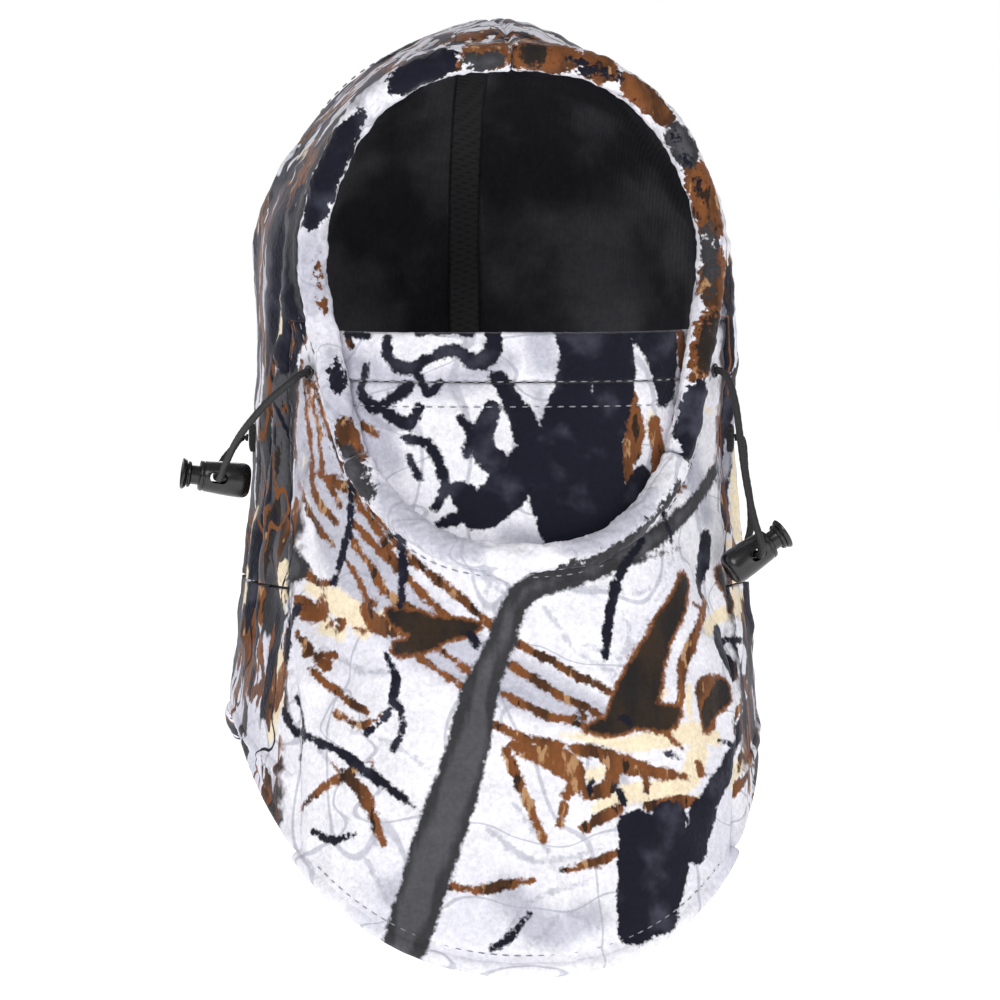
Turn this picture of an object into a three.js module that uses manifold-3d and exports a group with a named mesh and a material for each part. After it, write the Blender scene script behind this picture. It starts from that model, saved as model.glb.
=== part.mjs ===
// A fleece balaclava hood with a pull-down mask, a bib, and two elastic loops that carry spring cord locks.
// Millimetres, +Z up, the face looks towards -Y, +X is on the right of somebody who looks at the face.
// The origin is the head seat: the highest point of the lining, which rests on the crown of the head.
import * as THREE from "three";
import { mergeVertices } from "three/addons/utils/BufferGeometryUtils.js";
import Module from "manifold-3d";

const wasm = await Module();
wasm.setup();

// ---- Driving dimensions -------------------------------------------------------------------------
const GAP = 0.3; // between pieces that touch
const FLEECE = 3; // thickness of the shell fabric with its pile
const MASK_FLEECE = 2.5; // thickness of the mask fabric
const SECTION_POWER = 2.5; // how square the plan section of the hood is
const BRIM_POWER = 4.8; // the same for the front of the section at the brim
const DOME_Z = -90; // below this height the crown dome has reached its full width
const CROWN_HALF_WIDTH = 90;
const BIB_HALF_WIDTH = 102;
const CENTRE_Y = 5; // the widest line of each plan section
const BRIM_DEPTH = 101; // from the widest line forward to the brim
const CHIN_DEPTH = 123; // the same at the chin
const BIB_DEPTH = 146; // the same at the bib's tip
const BACK_DEPTH = 105; // from the widest line back to the back of the head
const NAPE_DEPTH = 78;
const FLAP_DEPTH = 96;
const SIDE_HEM_Z = -268; // the hem at the sides
const BIB_TIP_Z = -359;
const FLAP_TIP_Z = -310;
const OPENING_TOP_Z = -16;
const OPENING_HALF_WIDTH = 71;
const CHIN_RIM_Z = -195;
const HEM_RADIUS = 5.5; // the rolled channel round the face
const CHANNEL_RADIUS = 2.4; // its bore, in which the drawcord runs
const CORD_RADIUS = 1.4;
const BOTTOM_HEM_RADIUS = 3;
const CHEEK_SEAM_X = 84; // seams between the front piece and the side panels
const CHEEK_SEAM_TOP_Z = -112;
const NAPE_SEAM_Z = -215; // the neck flap is sewn on here
const TAPE_WIDTH = 12;
const TAPE_THICKNESS = 1;
const LABEL = { width: 30, height: 22, thickness: 0.6, top: -188 };
const MASK_TOP_Z = -115;
const MASK_HALF_WIDTH = 75;
const MASK_HEM_HEIGHT = 19;
const MASK_CORNER_Z = -200;
const MASK_BOTTOM_Z = -226;
const MASK_CLEARANCE = 0.6; // between the mask and the rolled hem it slides behind
const ELASTIC = { height: 13, thickness: 1.1 };
const EYELET = { x: 78, z: -131, outer: 2.8, inner: 1.9, thickness: 1 };
const ANCHOR = { depth: 2.6, width: 5, height: 11 };
const LOCK = {
  back: -12.7, // closed end of the barrel, from the cord hole
  mouth: 7.3, // open end of the barrel
  head: 14.2, // end of the button
  backRadius: 6.8,
  mouthRadius: 5.9,
  wall: 1.5,
  bore: 4.1,
  clearance: 0.3,
  headRadius: 6.2,
  travel: 3.2,
  cordHole: 2.1, // half the height of the cord hole
  springWire: 0.28,
  springRadius: 2.6,
  springTurns: 4,
  stemEnd: -4.4, // inner end of the button's stem
  slotHalf: 3.4, // half the length of the cord hole
};

const FABRIC = { white: 0xe6e5ee, charcoal: 0x3f3f45, navy: 0x1a1a24 };
const AROUND = 44; // points round each plan section

// ---- The shape of the garment -------------------------------------------------------------------
// A smooth curve through [height, value] pairs that run from high to low.
function track(pairs) {
  const slope = pairs.map((p, i) => {
    const before = pairs[Math.max(i - 1, 0)];
    const after = pairs[Math.min(i + 1, pairs.length - 1)];
    return (after[1] - before[1]) / (after[0] - before[0]);
  });
  return (z) => {
    if (z >= pairs[0][0]) return pairs[0][1];
    if (z <= pairs.at(-1)[0]) return pairs.at(-1)[1];
    const i = pairs.findIndex((p) => p[0] < z) - 1;
    const step = pairs[i + 1][0] - pairs[i][0];
    const t = (z - pairs[i][0]) / step;
    const rise = pairs[i + 1][1] - pairs[i][1];
    const a = slope[i] * step - rise;
    const b = rise - slope[i + 1] * step;
    return pairs[i][1] + t * rise + t * (1 - t) * (a * (1 - t) + b * t);
  };
}

const halfWidth = track([
  [DOME_Z, CROWN_HALF_WIDTH],
  [-154, CROWN_HALF_WIDTH + 1],
  [-204, CROWN_HALF_WIDTH + 4],
  [SIDE_HEM_Z, BIB_HALF_WIDTH],
  [BIB_TIP_Z - 10, BIB_HALF_WIDTH + 2],
]);
const frontDepth = track([
  [DOME_Z, BRIM_DEPTH],
  [-140, CHIN_DEPTH - 10],
  [CHIN_RIM_Z, CHIN_DEPTH],
  [BIB_TIP_Z - 10, BIB_DEPTH],
]);
const backDepth = track([
  [DOME_Z, BACK_DEPTH],
  [-130, BACK_DEPTH - 4],
  [NAPE_SEAM_Z, NAPE_DEPTH],
  [FLAP_TIP_Z, FLAP_DEPTH],
]);

const frontPower = track([
  [-40, BRIM_POWER],
  [-100, (BRIM_POWER + SECTION_POWER) / 2],
  [-165, SECTION_POWER],
]);

// How far the dome has opened at height z: 0 at the crown, 1 at the dome's foot. inset shrinks it evenly.
function domeShare(z, inset, power) {
  const height = FLEECE - inset - DOME_Z;
  const rise = THREE.MathUtils.clamp((z - DOME_Z) / height, 0, 1);
  return Math.pow(1 - Math.pow(rise, power), 1 / power);
}

// The plan section at height z, inset from the outside of the fleece.
function section(z, inset) {
  return {
    across: (halfWidth(z) - inset) * domeShare(z, inset, 1.7),
    front: (frontDepth(z) - inset) * domeShare(z, inset, 3.5),
    back: (backDepth(z) - inset) * domeShare(z, inset, 2.3),
    frontPower: frontPower(z),
  };
}

// The point at an angle round the section: 0 is the middle of the front, +90 degrees is +X.
function surfacePoint(angle, z, inset) {
  const plan = section(z, inset);
  const isFront = Math.cos(angle) > 0;
  const power = isFront ? plan.frontPower : SECTION_POWER;
  const bend = (value) => Math.sign(value) * Math.pow(Math.abs(value), 2 / power);
  const depth = isFront ? plan.front : plan.back;
  return new THREE.Vector3(plan.across * bend(Math.sin(angle)), CENTRE_Y - depth * bend(Math.cos(angle)), z);
}

// The point of the front of the surface that lies at x and z.
function surfaceAt(x, z, inset) {
  const { across, front, frontPower: power } = section(z, inset);
  const share = Math.min(Math.abs(x) / across, 1);
  return new THREE.Vector3(x, CENTRE_Y - front * Math.pow(1 - Math.pow(share, power), 1 / power), z);
}

// The direction straight out of the front of the fabric at a point given by x and z.
function outwards(x, z) {
  const step = 0.5;
  const here = surfaceAt(x, z, 0);
  const right = surfaceAt(x + step, z, 0).sub(here);
  const up = surfaceAt(x, z + step, 0).sub(here);
  return right.cross(up).normalize();
}

// ---- Solids -------------------------------------------------------------------------------------
function solid(geometry) {
  const bare = geometry.clone();
  bare.deleteAttribute("normal");
  bare.deleteAttribute("uv");
  const merged = mergeVertices(bare, 1e-4);
  return new wasm.Manifold(
    new wasm.Mesh({
      numProp: 3,
      vertProperties: merged.attributes.position.array,
      triVerts: new Uint32Array(merged.index.array),
    }),
  );
}

function placed(made, group) {
  group.updateMatrixWorld(true);
  return made.transform(group.matrixWorld.elements);
}

// A box between two corners.
function block(low, high) {
  const size = high.map((value, i) => value - low[i]);
  const geometry = new THREE.BoxGeometry(...size);
  geometry.translate(...low.map((value, i) => value + size[i] / 2));
  return solid(geometry);
}

// A prism whose outline lies in X and Z and which runs from y = near to y = far.
function prism(outline, near, far) {
  const shape = new THREE.Shape(outline.map(([x, z]) => new THREE.Vector2(x, z)));
  const geometry = new THREE.ExtrudeGeometry(shape, { depth: far - near, bevelEnabled: false });
  geometry.rotateX(Math.PI / 2);
  geometry.translate(0, far, 0);
  return solid(geometry);
}

// A round section swept along a curve, with an open bore if one is given.
function sweep(curve, radius, steps, sides, bore = 0) {
  const shape = new THREE.Shape();
  const ring = (r, n) =>
    Array.from({ length: n }, (_, i) => {
      const a = (2 * Math.PI * i) / n;
      return new THREE.Vector2(r * Math.cos(a), r * Math.sin(a));
    });
  shape.setFromPoints(ring(radius, sides));
  if (bore) shape.holes.push(new THREE.Path(ring(bore, 6)));
  return solid(new THREE.ExtrudeGeometry(shape, { extrudePath: curve, steps, bevelEnabled: false }));
}

// The wall between two insets of the garment's surface, from the crown down to bottomZ: a lathe form whose
// rings are then laid on the plan sections.
function wall(outer, inner, bottomZ) {
  const rings = [];
  const domeTop = (inset) => FLEECE - inset;
  const heights = (inset) => {
    const top = domeTop(inset);
    const dome = [0, 0.8, 3.5, 8, 15, 25, 39, 56, 74].map((drop) => top - drop);
    const body = [];
    for (let z = DOME_Z; z > bottomZ + 8; z -= 18) body.push(z);
    return [...dome.filter((z) => z > DOME_Z + 3), ...body, bottomZ];
  };
  for (const z of heights(outer)) rings.push([z, outer]);
  for (const z of heights(inner).reverse()) rings.push([z, inner]);
  const profile = rings.map(([z, inset]) => new THREE.Vector2(1, z - inset));
  const geometry = new THREE.LatheGeometry(profile, AROUND);
  const { position, uv } = geometry.attributes;
  for (let i = 0; i < position.count; i++) {
    const [z, inset] = rings[Math.round(uv.getY(i) * (rings.length - 1))];
    const turn = (2 * Math.PI * Math.round(uv.getX(i) * AROUND)) / AROUND;
    position.setXYZ(i, ...surfacePoint(turn % (2 * Math.PI), z, inset));
  }
  const made = solid(geometry);
  if (made.volume() > 0) return made;
  const index = geometry.index.array;
  for (let i = 0; i < index.length; i += 3) [index[i], index[i + 1]] = [index[i + 1], index[i]];
  return solid(geometry);
}

const object = new THREE.Group();
const tones = {
  white: new THREE.MeshStandardMaterial({ color: FABRIC.white, roughness: 0.95, metalness: 0 }),
  charcoal: new THREE.MeshStandardMaterial({ color: FABRIC.charcoal, roughness: 0.95, metalness: 0 }),
  navy: new THREE.MeshStandardMaterial({ color: FABRIC.navy, roughness: 0.95, metalness: 0 }),
  tape: new THREE.MeshStandardMaterial({ color: 0x202024, roughness: 0.8, metalness: 0 }),
  elastic: new THREE.MeshStandardMaterial({ color: 0x0c0c0e, roughness: 0.7, metalness: 0 }),
  plastic: new THREE.MeshStandardMaterial({ color: 0x0b0b0d, roughness: 0.35, metalness: 0 }),
  steel: new THREE.MeshStandardMaterial({ color: 0xb4b6ba, roughness: 0.3, metalness: 1 }),
  label: new THREE.MeshStandardMaterial({ color: 0xf1f1ee, roughness: 0.6, metalness: 0 }),
};

// The biggest body of a cut solid, without the crumbs that a cut leaves behind.
function biggest(made) {
  return made.decompose().reduce((best, next) => (next.volume() > best.volume() ? next : best));
}

function addMesh(name, made, tone) {
  const { vertProperties, triVerts } = biggest(made).getMesh();
  const geometry = new THREE.BufferGeometry();
  geometry.setAttribute("position", new THREE.BufferAttribute(vertProperties, 3));
  geometry.setIndex(new THREE.BufferAttribute(triVerts, 1));
  geometry.computeVertexNormals();
  const mesh = new THREE.Mesh(geometry, tones[tone]);
  mesh.name = name;
  object.add(mesh);
}

// ---- Outlines -----------------------------------------------------------------------------------
const mirrored = (half) => [...half, ...half.slice(1, -1).reverse().map(([x, z]) => [-x, z])];

// Half of the face opening, from the top round the right-hand side to the chin.
const OPENING_HALF = [
  [0, OPENING_TOP_Z],
  [30, OPENING_TOP_Z - 4],
  [0.78 * OPENING_HALF_WIDTH, OPENING_TOP_Z - 23],
  [OPENING_HALF_WIDTH, OPENING_TOP_Z - 64],
  [0.915 * OPENING_HALF_WIDTH, CHIN_RIM_Z + 68],
  [0.76 * OPENING_HALF_WIDTH, CHIN_RIM_Z + 28],
  [30, CHIN_RIM_Z + 5],
  [0, CHIN_RIM_Z],
];
const flat = ([x, z]) => new THREE.Vector3(x, 0, z);
const openingEdge = new THREE.CatmullRomCurve3(mirrored(OPENING_HALF).map(flat), true);

// The middle line of the rolled hem: the opening's edge moved outwards by the hem's radius, laid on the fabric.
class HemLine extends THREE.Curve {
  constructor(from, to) {
    super();
    this.from = from;
    this.to = to;
  }
  getPoint(t) {
    const u = THREE.MathUtils.euclideanModulo(this.from + t * (this.to - this.from), 1);
    const edge = openingEdge.getPoint(u);
    const along = openingEdge.getTangent(u);
    const x = edge.x - along.z * HEM_RADIUS;
    const z = edge.z + along.x * HEM_RADIUS;
    return surfaceAt(x, z, FLEECE / 2);
  }
}

// The height of the lower edge, where share is the distance from the middle as a share of the half width.
function edgeHeight(share, tipZ) {
  return SIDE_HEM_Z + (tipZ - SIDE_HEM_Z) * Math.pow(1 - Math.pow(Math.abs(share), 2.2), 0.56);
}

// The lower edge from +X to -X, raised by lift.
function lowerEdge(tipZ, lift) {
  const count = 24;
  return Array.from({ length: count + 1 }, (_, i) => {
    const share = Math.cos((Math.PI * i) / count);
    return [BIB_HALF_WIDTH * share, edgeHeight(share, tipZ) + lift];
  });
}

// All that lies above the middle line of the hem on a lower edge.
function keepAbove(tipZ, near, far) {
  const side = BIB_HALF_WIDTH + 20;
  const corner = SIDE_HEM_Z + BOTTOM_HEM_RADIUS;
  const outline = [
    [side, FLEECE + 10],
    [side, corner],
    ...lowerEdge(tipZ, BOTTOM_HEM_RADIUS),
    [-side, corner],
    [-side, FLEECE + 10],
  ];
  return prism(outline, near, far);
}

// The middle line of a bottom hem, laid on the fabric between two angles round the section.
class BottomLine extends THREE.Curve {
  constructor(from, to) {
    super();
    this.from = from;
    this.to = to;
  }
  getPoint(t) {
    const angle = this.from + t * (this.to - this.from);
    const share = Math.pow(Math.abs(Math.sin(angle)), 2 / SECTION_POWER);
    const z = edgeHeight(share, Math.cos(angle) > 0 ? BIB_TIP_Z : FLAP_TIP_Z);
    return surfacePoint(angle, z + BOTTOM_HEM_RADIUS, FLEECE / 2);
  }
}

// ---- Shell of the hood --------------------------------------------------------------------------
const hemOutline = new HemLine(0, 1).getPoints(56).slice(0, -1);
const faceCut = prism(hemOutline.map((p) => [p.x, p.z]), -220, -15);
const JAW = 0.345; // where the upper and lower hems meet, as a share of the way round
const HEM_STEPS = 24;
const HEM_RUNS = { face_hem_right: [0, JAW], face_hem_left: [0, -JAW], chin_hem: [JAW, 1 - JAW] };
const hemSweep = ([from, to], radius, bore) => sweep(new HemLine(from, to), radius, HEM_STEPS, 10, bore);
const hemClearance = Object.values(HEM_RUNS)
  .map((run) => hemSweep(run, HEM_RADIUS + GAP))
  .reduce((all, run) => all.add(run));

const seamShare = (CHEEK_SEAM_X - GAP) / BIB_HALF_WIDTH;
const seamAngle = Math.asin(Math.pow(seamShare, SECTION_POWER / 2));
const SEAM_TURN = 0.03; // the bib's hem and the flap's hem stop this far apart, in radians
const bibLine = new BottomLine(-seamAngle, seamAngle);
const flapLine = new BottomLine(seamAngle + SEAM_TURN, 2 * Math.PI - seamAngle - SEAM_TURN);
const BIB_STEPS = 26;
const FLAP_STEPS = 40;
const bottomClearance = sweep(bibLine, BOTTOM_HEM_RADIUS + GAP, BIB_STEPS, 8).add(
  sweep(flapLine, BOTTOM_HEM_RADIUS + GAP, FLAP_STEPS, 8),
);
const keep = keepAbove(BIB_TIP_Z, -220, CENTRE_Y).add(keepAbove(FLAP_TIP_Z, CENTRE_Y, 160));
const shell = wall(0, FLEECE, BIB_TIP_Z - 8)
  .intersect(keep)
  .subtract(faceCut)
  .subtract(hemClearance)
  .subtract(bottomClearance);

const SIDE = 190; // beyond the garment on every side
function frontPiece(margin) {
  const halfWide = CHEEK_SEAM_X + margin;
  return block([-halfWide, -SIDE, BIB_TIP_Z - 20], [halfWide, -20, CHEEK_SEAM_TOP_Z + margin]);
}
const belowNape = (margin) => block([-SIDE, -SIDE, BIB_TIP_Z - 20], [SIDE, SIDE, NAPE_SEAM_Z + margin]);

const exitNormal = (side) => outwards(side * EYELET.x, EYELET.z);
function alongAxis(position, axis) {
  const group = new THREE.Group();
  group.position.copy(position);
  group.quaternion.setFromUnitVectors(new THREE.Vector3(0, 1, 0), axis);
  return group;
}
function exitHole(side) {
  const drill = solid(new THREE.CylinderGeometry(EYELET.inner, EYELET.inner, 4 * FLEECE, 16));
  return placed(drill, alongAxis(surfaceAt(side * EYELET.x, EYELET.z, 0), exitNormal(side)));
}

const bib = shell.intersect(frontPiece(-GAP / 2)).subtract(exitHole(-1)).subtract(exitHole(1));
const sides = shell.subtract(frontPiece(GAP / 2));
const upperSides = sides.subtract(belowNape(GAP / 2));
const leftHalf = block([-SIDE, -SIDE, BIB_TIP_Z], [-GAP / 2, SIDE, SIDE]);
const rightHalf = block([GAP / 2, -SIDE, BIB_TIP_Z], [SIDE, SIDE, SIDE]);
addMesh("hood_left_panel", upperSides.intersect(leftHalf), "charcoal");
addMesh("hood_right_panel", upperSides.intersect(rightHalf), "white");
addMesh("front_bib", bib, "white");
addMesh("neck_flap", sides.intersect(belowNape(-GAP / 2)), "charcoal");

// ---- Rolled hem round the face, with the drawcord in its channel --------------------------------
const END_GAP = 0.0008; // of the way round
for (const [name, [from, to]] of Object.entries(HEM_RUNS)) {
  const trim = Math.sign(to - from) * END_GAP;
  addMesh(name, hemSweep([from + trim, to - trim], HEM_RADIUS, CHANNEL_RADIUS), "white");
}
addMesh("drawcord", sweep(new HemLine(JAW, -JAW), CORD_RADIUS, 48, 8), "elastic");

// ---- Bottom hems --------------------------------------------------------------------------------
addMesh("bib_hem", sweep(bibLine, BOTTOM_HEM_RADIUS, BIB_STEPS, 8), "white");
addMesh("flap_hem", sweep(flapLine, BOTTOM_HEM_RADIUS, FLAP_STEPS, 8), "charcoal");

// ---- Crown seam tape and care label inside ------------------------------------------------------
const tapeOuter = FLEECE + GAP;
const tapeInner = tapeOuter + TAPE_THICKNESS;
const tapeRun = block([-TAPE_WIDTH / 2, -90, NAPE_SEAM_Z + 4], [TAPE_WIDTH / 2, SIDE, 20]);
addMesh(
  "crown_seam_tape",
  wall(tapeOuter, tapeInner, NAPE_SEAM_Z - 20).intersect(tapeRun).subtract(faceCut).subtract(hemClearance),
  "tape",
);
const labelOuter = tapeInner + GAP;
const labelRun = block(
  [-LABEL.width / 2, 20, LABEL.top - LABEL.height],
  [LABEL.width / 2, SIDE, LABEL.top],
);
addMesh(
  "care_label",
  wall(labelOuter, labelOuter + LABEL.thickness, NAPE_SEAM_Z - 20).intersect(labelRun),
  "label",
);

// ---- Pull-down mask -----------------------------------------------------------------------------
const maskOuter = FLEECE / 2 + HEM_RADIUS + MASK_CLEARANCE;
const maskSeamZ = MASK_TOP_Z - MASK_HEM_HEIGHT;
const maskOutline = (topZ) => {
  const lower = new THREE.SplineCurve(
    [
      [MASK_HALF_WIDTH, topZ],
      [MASK_HALF_WIDTH - 1, MASK_CORNER_Z + 20],
      [MASK_HALF_WIDTH - 14, MASK_CORNER_Z - 6],
      [0, MASK_BOTTOM_Z],
      [14 - MASK_HALF_WIDTH, MASK_CORNER_Z - 6],
      [1 - MASK_HALF_WIDTH, MASK_CORNER_Z + 20],
      [-MASK_HALF_WIDTH, topZ],
    ].map(([x, z]) => new THREE.Vector2(x, z)),
  );
  return lower.getPoints(24).map((p) => [p.x, p.y]);
};
const maskWall = (outer, inner) => wall(outer, inner, MASK_BOTTOM_Z - 20);
const band = (top, bottom, halfWide) => block([-halfWide, -SIDE, bottom], [halfWide, -8, top]);
const maskPanel = maskWall(maskOuter, maskOuter + MASK_FLEECE)
  .intersect(prism(maskOutline(maskSeamZ - GAP), -220, -8));
addMesh("mask_panel", maskPanel, "navy");
const leaf = 1.4; // each side of the folded hem
const tunnel = ELASTIC.thickness + 2 * GAP;
const hemBand = maskWall(maskOuter, maskOuter + 2 * leaf + tunnel)
  .intersect(band(MASK_TOP_Z, maskSeamZ, MASK_HALF_WIDTH))
  .subtract(
    maskWall(maskOuter + leaf, maskOuter + leaf + tunnel).intersect(
      band(MASK_TOP_Z - 2.5, MASK_TOP_Z - 2.5 - ELASTIC.height - 2 * GAP, MASK_HALF_WIDTH + 1),
    ),
  );
addMesh("mask_top_hem", hemBand, "navy");
const elasticTop = MASK_TOP_Z - 2.5 - GAP;
const elasticOuter = maskOuter + leaf + GAP;
addMesh(
  "mask_elastic",
  maskWall(elasticOuter, elasticOuter + ELASTIC.thickness).intersect(
    band(elasticTop, elasticTop - ELASTIC.height, MASK_HALF_WIDTH - 1),
  ),
  "tape",
);

// ---- Cord locks ---------------------------------------------------------------------------------
// In a lock's own frame the button points along +X and the cord passes through along Y.
function turned(profile, sides = 16) {
  const geometry = new THREE.LatheGeometry(profile.map(([x, r]) => new THREE.Vector2(r, x)), sides);
  geometry.rotateZ(-Math.PI / 2);
  return solid(geometry);
}

// A slot with round ends that runs along Y, from x = low to x = high.
function cordSlot(low, high, halfHeight) {
  const shape = new THREE.Shape();
  shape.absarc(high - halfHeight, 0, halfHeight, -Math.PI / 2, Math.PI / 2, false);
  shape.absarc(low + halfHeight, 0, halfHeight, Math.PI / 2, (3 * Math.PI) / 2, false);
  const geometry = new THREE.ExtrudeGeometry(shape, { depth: 30, bevelEnabled: false, curveSegments: 4 });
  geometry.rotateX(Math.PI / 2);
  geometry.translate(0, 15, 0);
  return solid(geometry);
}

function barrel() {
  const { back, mouth, backRadius, mouthRadius, bore, wall: end, cordHole, slotHalf } = LOCK;
  const outside = turned([
    [back, 0],
    [back, backRadius - 2],
    [back + 0.7, backRadius - 0.7],
    [back + 2, backRadius],
    [back + 8, backRadius - 0.1],
    [mouth - 1, mouthRadius],
    [mouth, mouthRadius - 0.8],
    [mouth, 0],
  ]);
  const inside = turned([
    [back + end, 0],
    [back + end, bore],
    [mouth + 1, bore],
    [mouth + 1, 0],
  ]);
  return outside.subtract(inside).subtract(cordSlot(-slotHalf, slotHalf, cordHole));
}

function plunger() {
  const { mouth, head, bore, clearance, headRadius, travel, stemEnd } = LOCK;
  const stem = bore - clearance;
  const underHead = mouth + travel + clearance;
  const body = turned([
    [stemEnd, 0],
    [stemEnd, stem - 0.5],
    [stemEnd + 0.5, stem],
    [underHead, stem],
    [underHead, stem + 0.8],
    [underHead + 0.8, stem + 1.3],
    [underHead + 1.2, stem + 0.6],
    [underHead + 2, stem + 1.2],
    [head - 0.6, headRadius],
    [head, headRadius - 0.3],
    [head, headRadius - 1.4],
    [head - 0.8, headRadius - 2],
    [head - 0.8, 0],
  ]);
  const play = CORD_RADIUS + GAP;
  return body.subtract(cordSlot(-play, play + travel, play));
}

class Coil extends THREE.Curve {
  getPoint(t) {
    const start = LOCK.back + LOCK.wall + GAP + LOCK.springWire;
    const end = LOCK.stemEnd - GAP - LOCK.springWire;
    const a = 2 * Math.PI * LOCK.springTurns * t;
    const r = LOCK.springRadius;
    return new THREE.Vector3(start + (end - start) * t, r * Math.cos(a), r * Math.sin(a));
  }
}

// Where each cord hole lies, with x given outwards from the hood's half width, and where the button points.
const LOCKS = {
  left: { side: -1, hole: [19, -20, -174], button: [-0.992, 0, 0.125] },
  right: { side: 1, hole: [2.8, -84, -201], button: [0.83, 0.15, 0.54] },
};
const besideHood = (side, [out, y, z]) => new THREE.Vector3(side * (CROWN_HALF_WIDTH + out), y, z);
function lockFrame({ side, hole, button }) {
  const group = new THREE.Group();
  const x = new THREE.Vector3(...button).normalize();
  const z = new THREE.Vector3(0, 0, 1).addScaledVector(x, -x.z).normalize();
  const y = z.clone().cross(x);
  group.quaternion.setFromRotationMatrix(new THREE.Matrix4().makeBasis(x, y, z));
  group.position.copy(besideHood(side, hole));
  return group;
}

for (const [side, lock] of Object.entries(LOCKS)) {
  const frame = lockFrame(lock);
  addMesh(side + "_lock_barrel", placed(barrel(), frame), "plastic");
  addMesh(side + "_lock_plunger", placed(plunger(), frame), "plastic");
  addMesh(side + "_lock_spring", placed(sweep(new Coil(), LOCK.springWire, 32, 5), frame), "steel");
}

// ---- Elastic loops, their exits and anchors ----------------------------------------------------
function eyelet(side) {
  const ring = new THREE.Shape().absarc(0, 0, EYELET.outer, 0, 2 * Math.PI, false);
  ring.holes.push(new THREE.Path().absarc(0, 0, EYELET.inner, 0, 2 * Math.PI, false));
  const geometry = new THREE.ExtrudeGeometry(ring, {
    depth: EYELET.thickness,
    bevelEnabled: false,
    curveSegments: 6,
  });
  geometry.rotateX(-Math.PI / 2);
  geometry.translate(0, GAP, 0);
  return placed(solid(geometry), alongAxis(surfaceAt(side * EYELET.x, EYELET.z, 0), exitNormal(side)));
}
addMesh("left_cord_eyelet", eyelet(-1), "tape");
addMesh("right_cord_eyelet", eyelet(1), "tape");

const ANCHORS = { left: { angle: -92, z: -160 }, right: { angle: 68, z: -158 } };
function anchorFrame({ angle, z }) {
  const turn = THREE.MathUtils.degToRad(angle);
  const here = surfacePoint(turn, z, 0);
  const ahead = surfacePoint(turn + 0.01, z, 0).sub(here);
  const out = new THREE.Vector3(ahead.y, -ahead.x, 0).normalize();
  return { here, out };
}
function anchor(place) {
  const { here, out } = anchorFrame(place);
  const tab = new THREE.Shape();
  const half = ANCHOR.width / 2;
  tab.absarc(ANCHOR.height / 2 - half, 0, half, -Math.PI / 2, Math.PI / 2, false);
  tab.absarc(half - ANCHOR.height / 2, 0, half, Math.PI / 2, (3 * Math.PI) / 2, false);
  const geometry = new THREE.ExtrudeGeometry(tab, {
    depth: ANCHOR.depth,
    bevelEnabled: false,
    curveSegments: 6,
  });
  geometry.rotateZ(Math.PI / 2);
  geometry.rotateX(-Math.PI / 2);
  geometry.translate(0, GAP + 0.15, 0);
  return placed(solid(geometry), alongAxis(here, out));
}
addMesh("left_cord_anchor", anchor(ANCHORS.left), "tape");
addMesh("right_cord_anchor", anchor(ANCHORS.right), "tape");

// The loops' middle lines, from the eyelet through the lock to the anchor, chosen by hand. x is given
// outwards from the hood's half width, as a lock's is.
const LOOP_ROUTES = {
  left: [
    [-4.5, -80, -134.5],
    [2.5, -76.5, -140.5],
    [9.3, -68, -149],
    [14.2, -56, -157.5],
    [17.2, -44, -166],
    [18.7, -35, -172],
    [19, -28.5, -174],
    [19, -20, -174],
    [19, -12.5, -174],
    [18.2, -8, -172.3],
    [15.5, -3.5, -168],
    [11.5, 2.5, -164],
  ],
  right: [
    [-7, -80, -134],
    [-4.7, -84, -142.5],
    [-3.5, -87.5, -153.5],
    [-2.4, -91, -165.5],
    [-0.8, -94.5, -177.5],
    [1.6, -97.5, -189],
    [4.2, -97.5, -197.5],
    [4.5, -92.6, -201],
    [2.8, -84, -201],
    [1.2, -75.8, -201],
    [1.4, -71, -199],
    [3.6, -66.5, -192],
    [4, -61.5, -182],
    [2.8, -57, -171],
  ],
};
for (const [side, sign] of [
  ["left", -1],
  ["right", 1],
]) {
  const exit = surfaceAt(sign * EYELET.x, EYELET.z, 0);
  const out = exitNormal(sign);
  const { here, out: anchorOut } = anchorFrame(ANCHORS[side]);
  const face = ANCHOR.depth + 2 * GAP + 0.15;
  const route = [
    exit.clone().addScaledVector(out, -2.2),
    exit.clone().addScaledVector(out, 3),
    ...LOOP_ROUTES[side].map((point) => besideHood(sign, point)),
    here.clone().addScaledVector(anchorOut, face + 2.5),
    here.clone().addScaledVector(anchorOut, face),
  ];
  const loop = new THREE.CatmullRomCurve3(route, false, "centripetal");
  addMesh(side + "_cord_loop", sweep(loop, CORD_RADIUS, 40, 8), "elastic");
}

export default object;
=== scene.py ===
"""A camouflage fleece hood with a pull-down face mask, a bib and two elastic loops with spring cord locks."""

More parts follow.
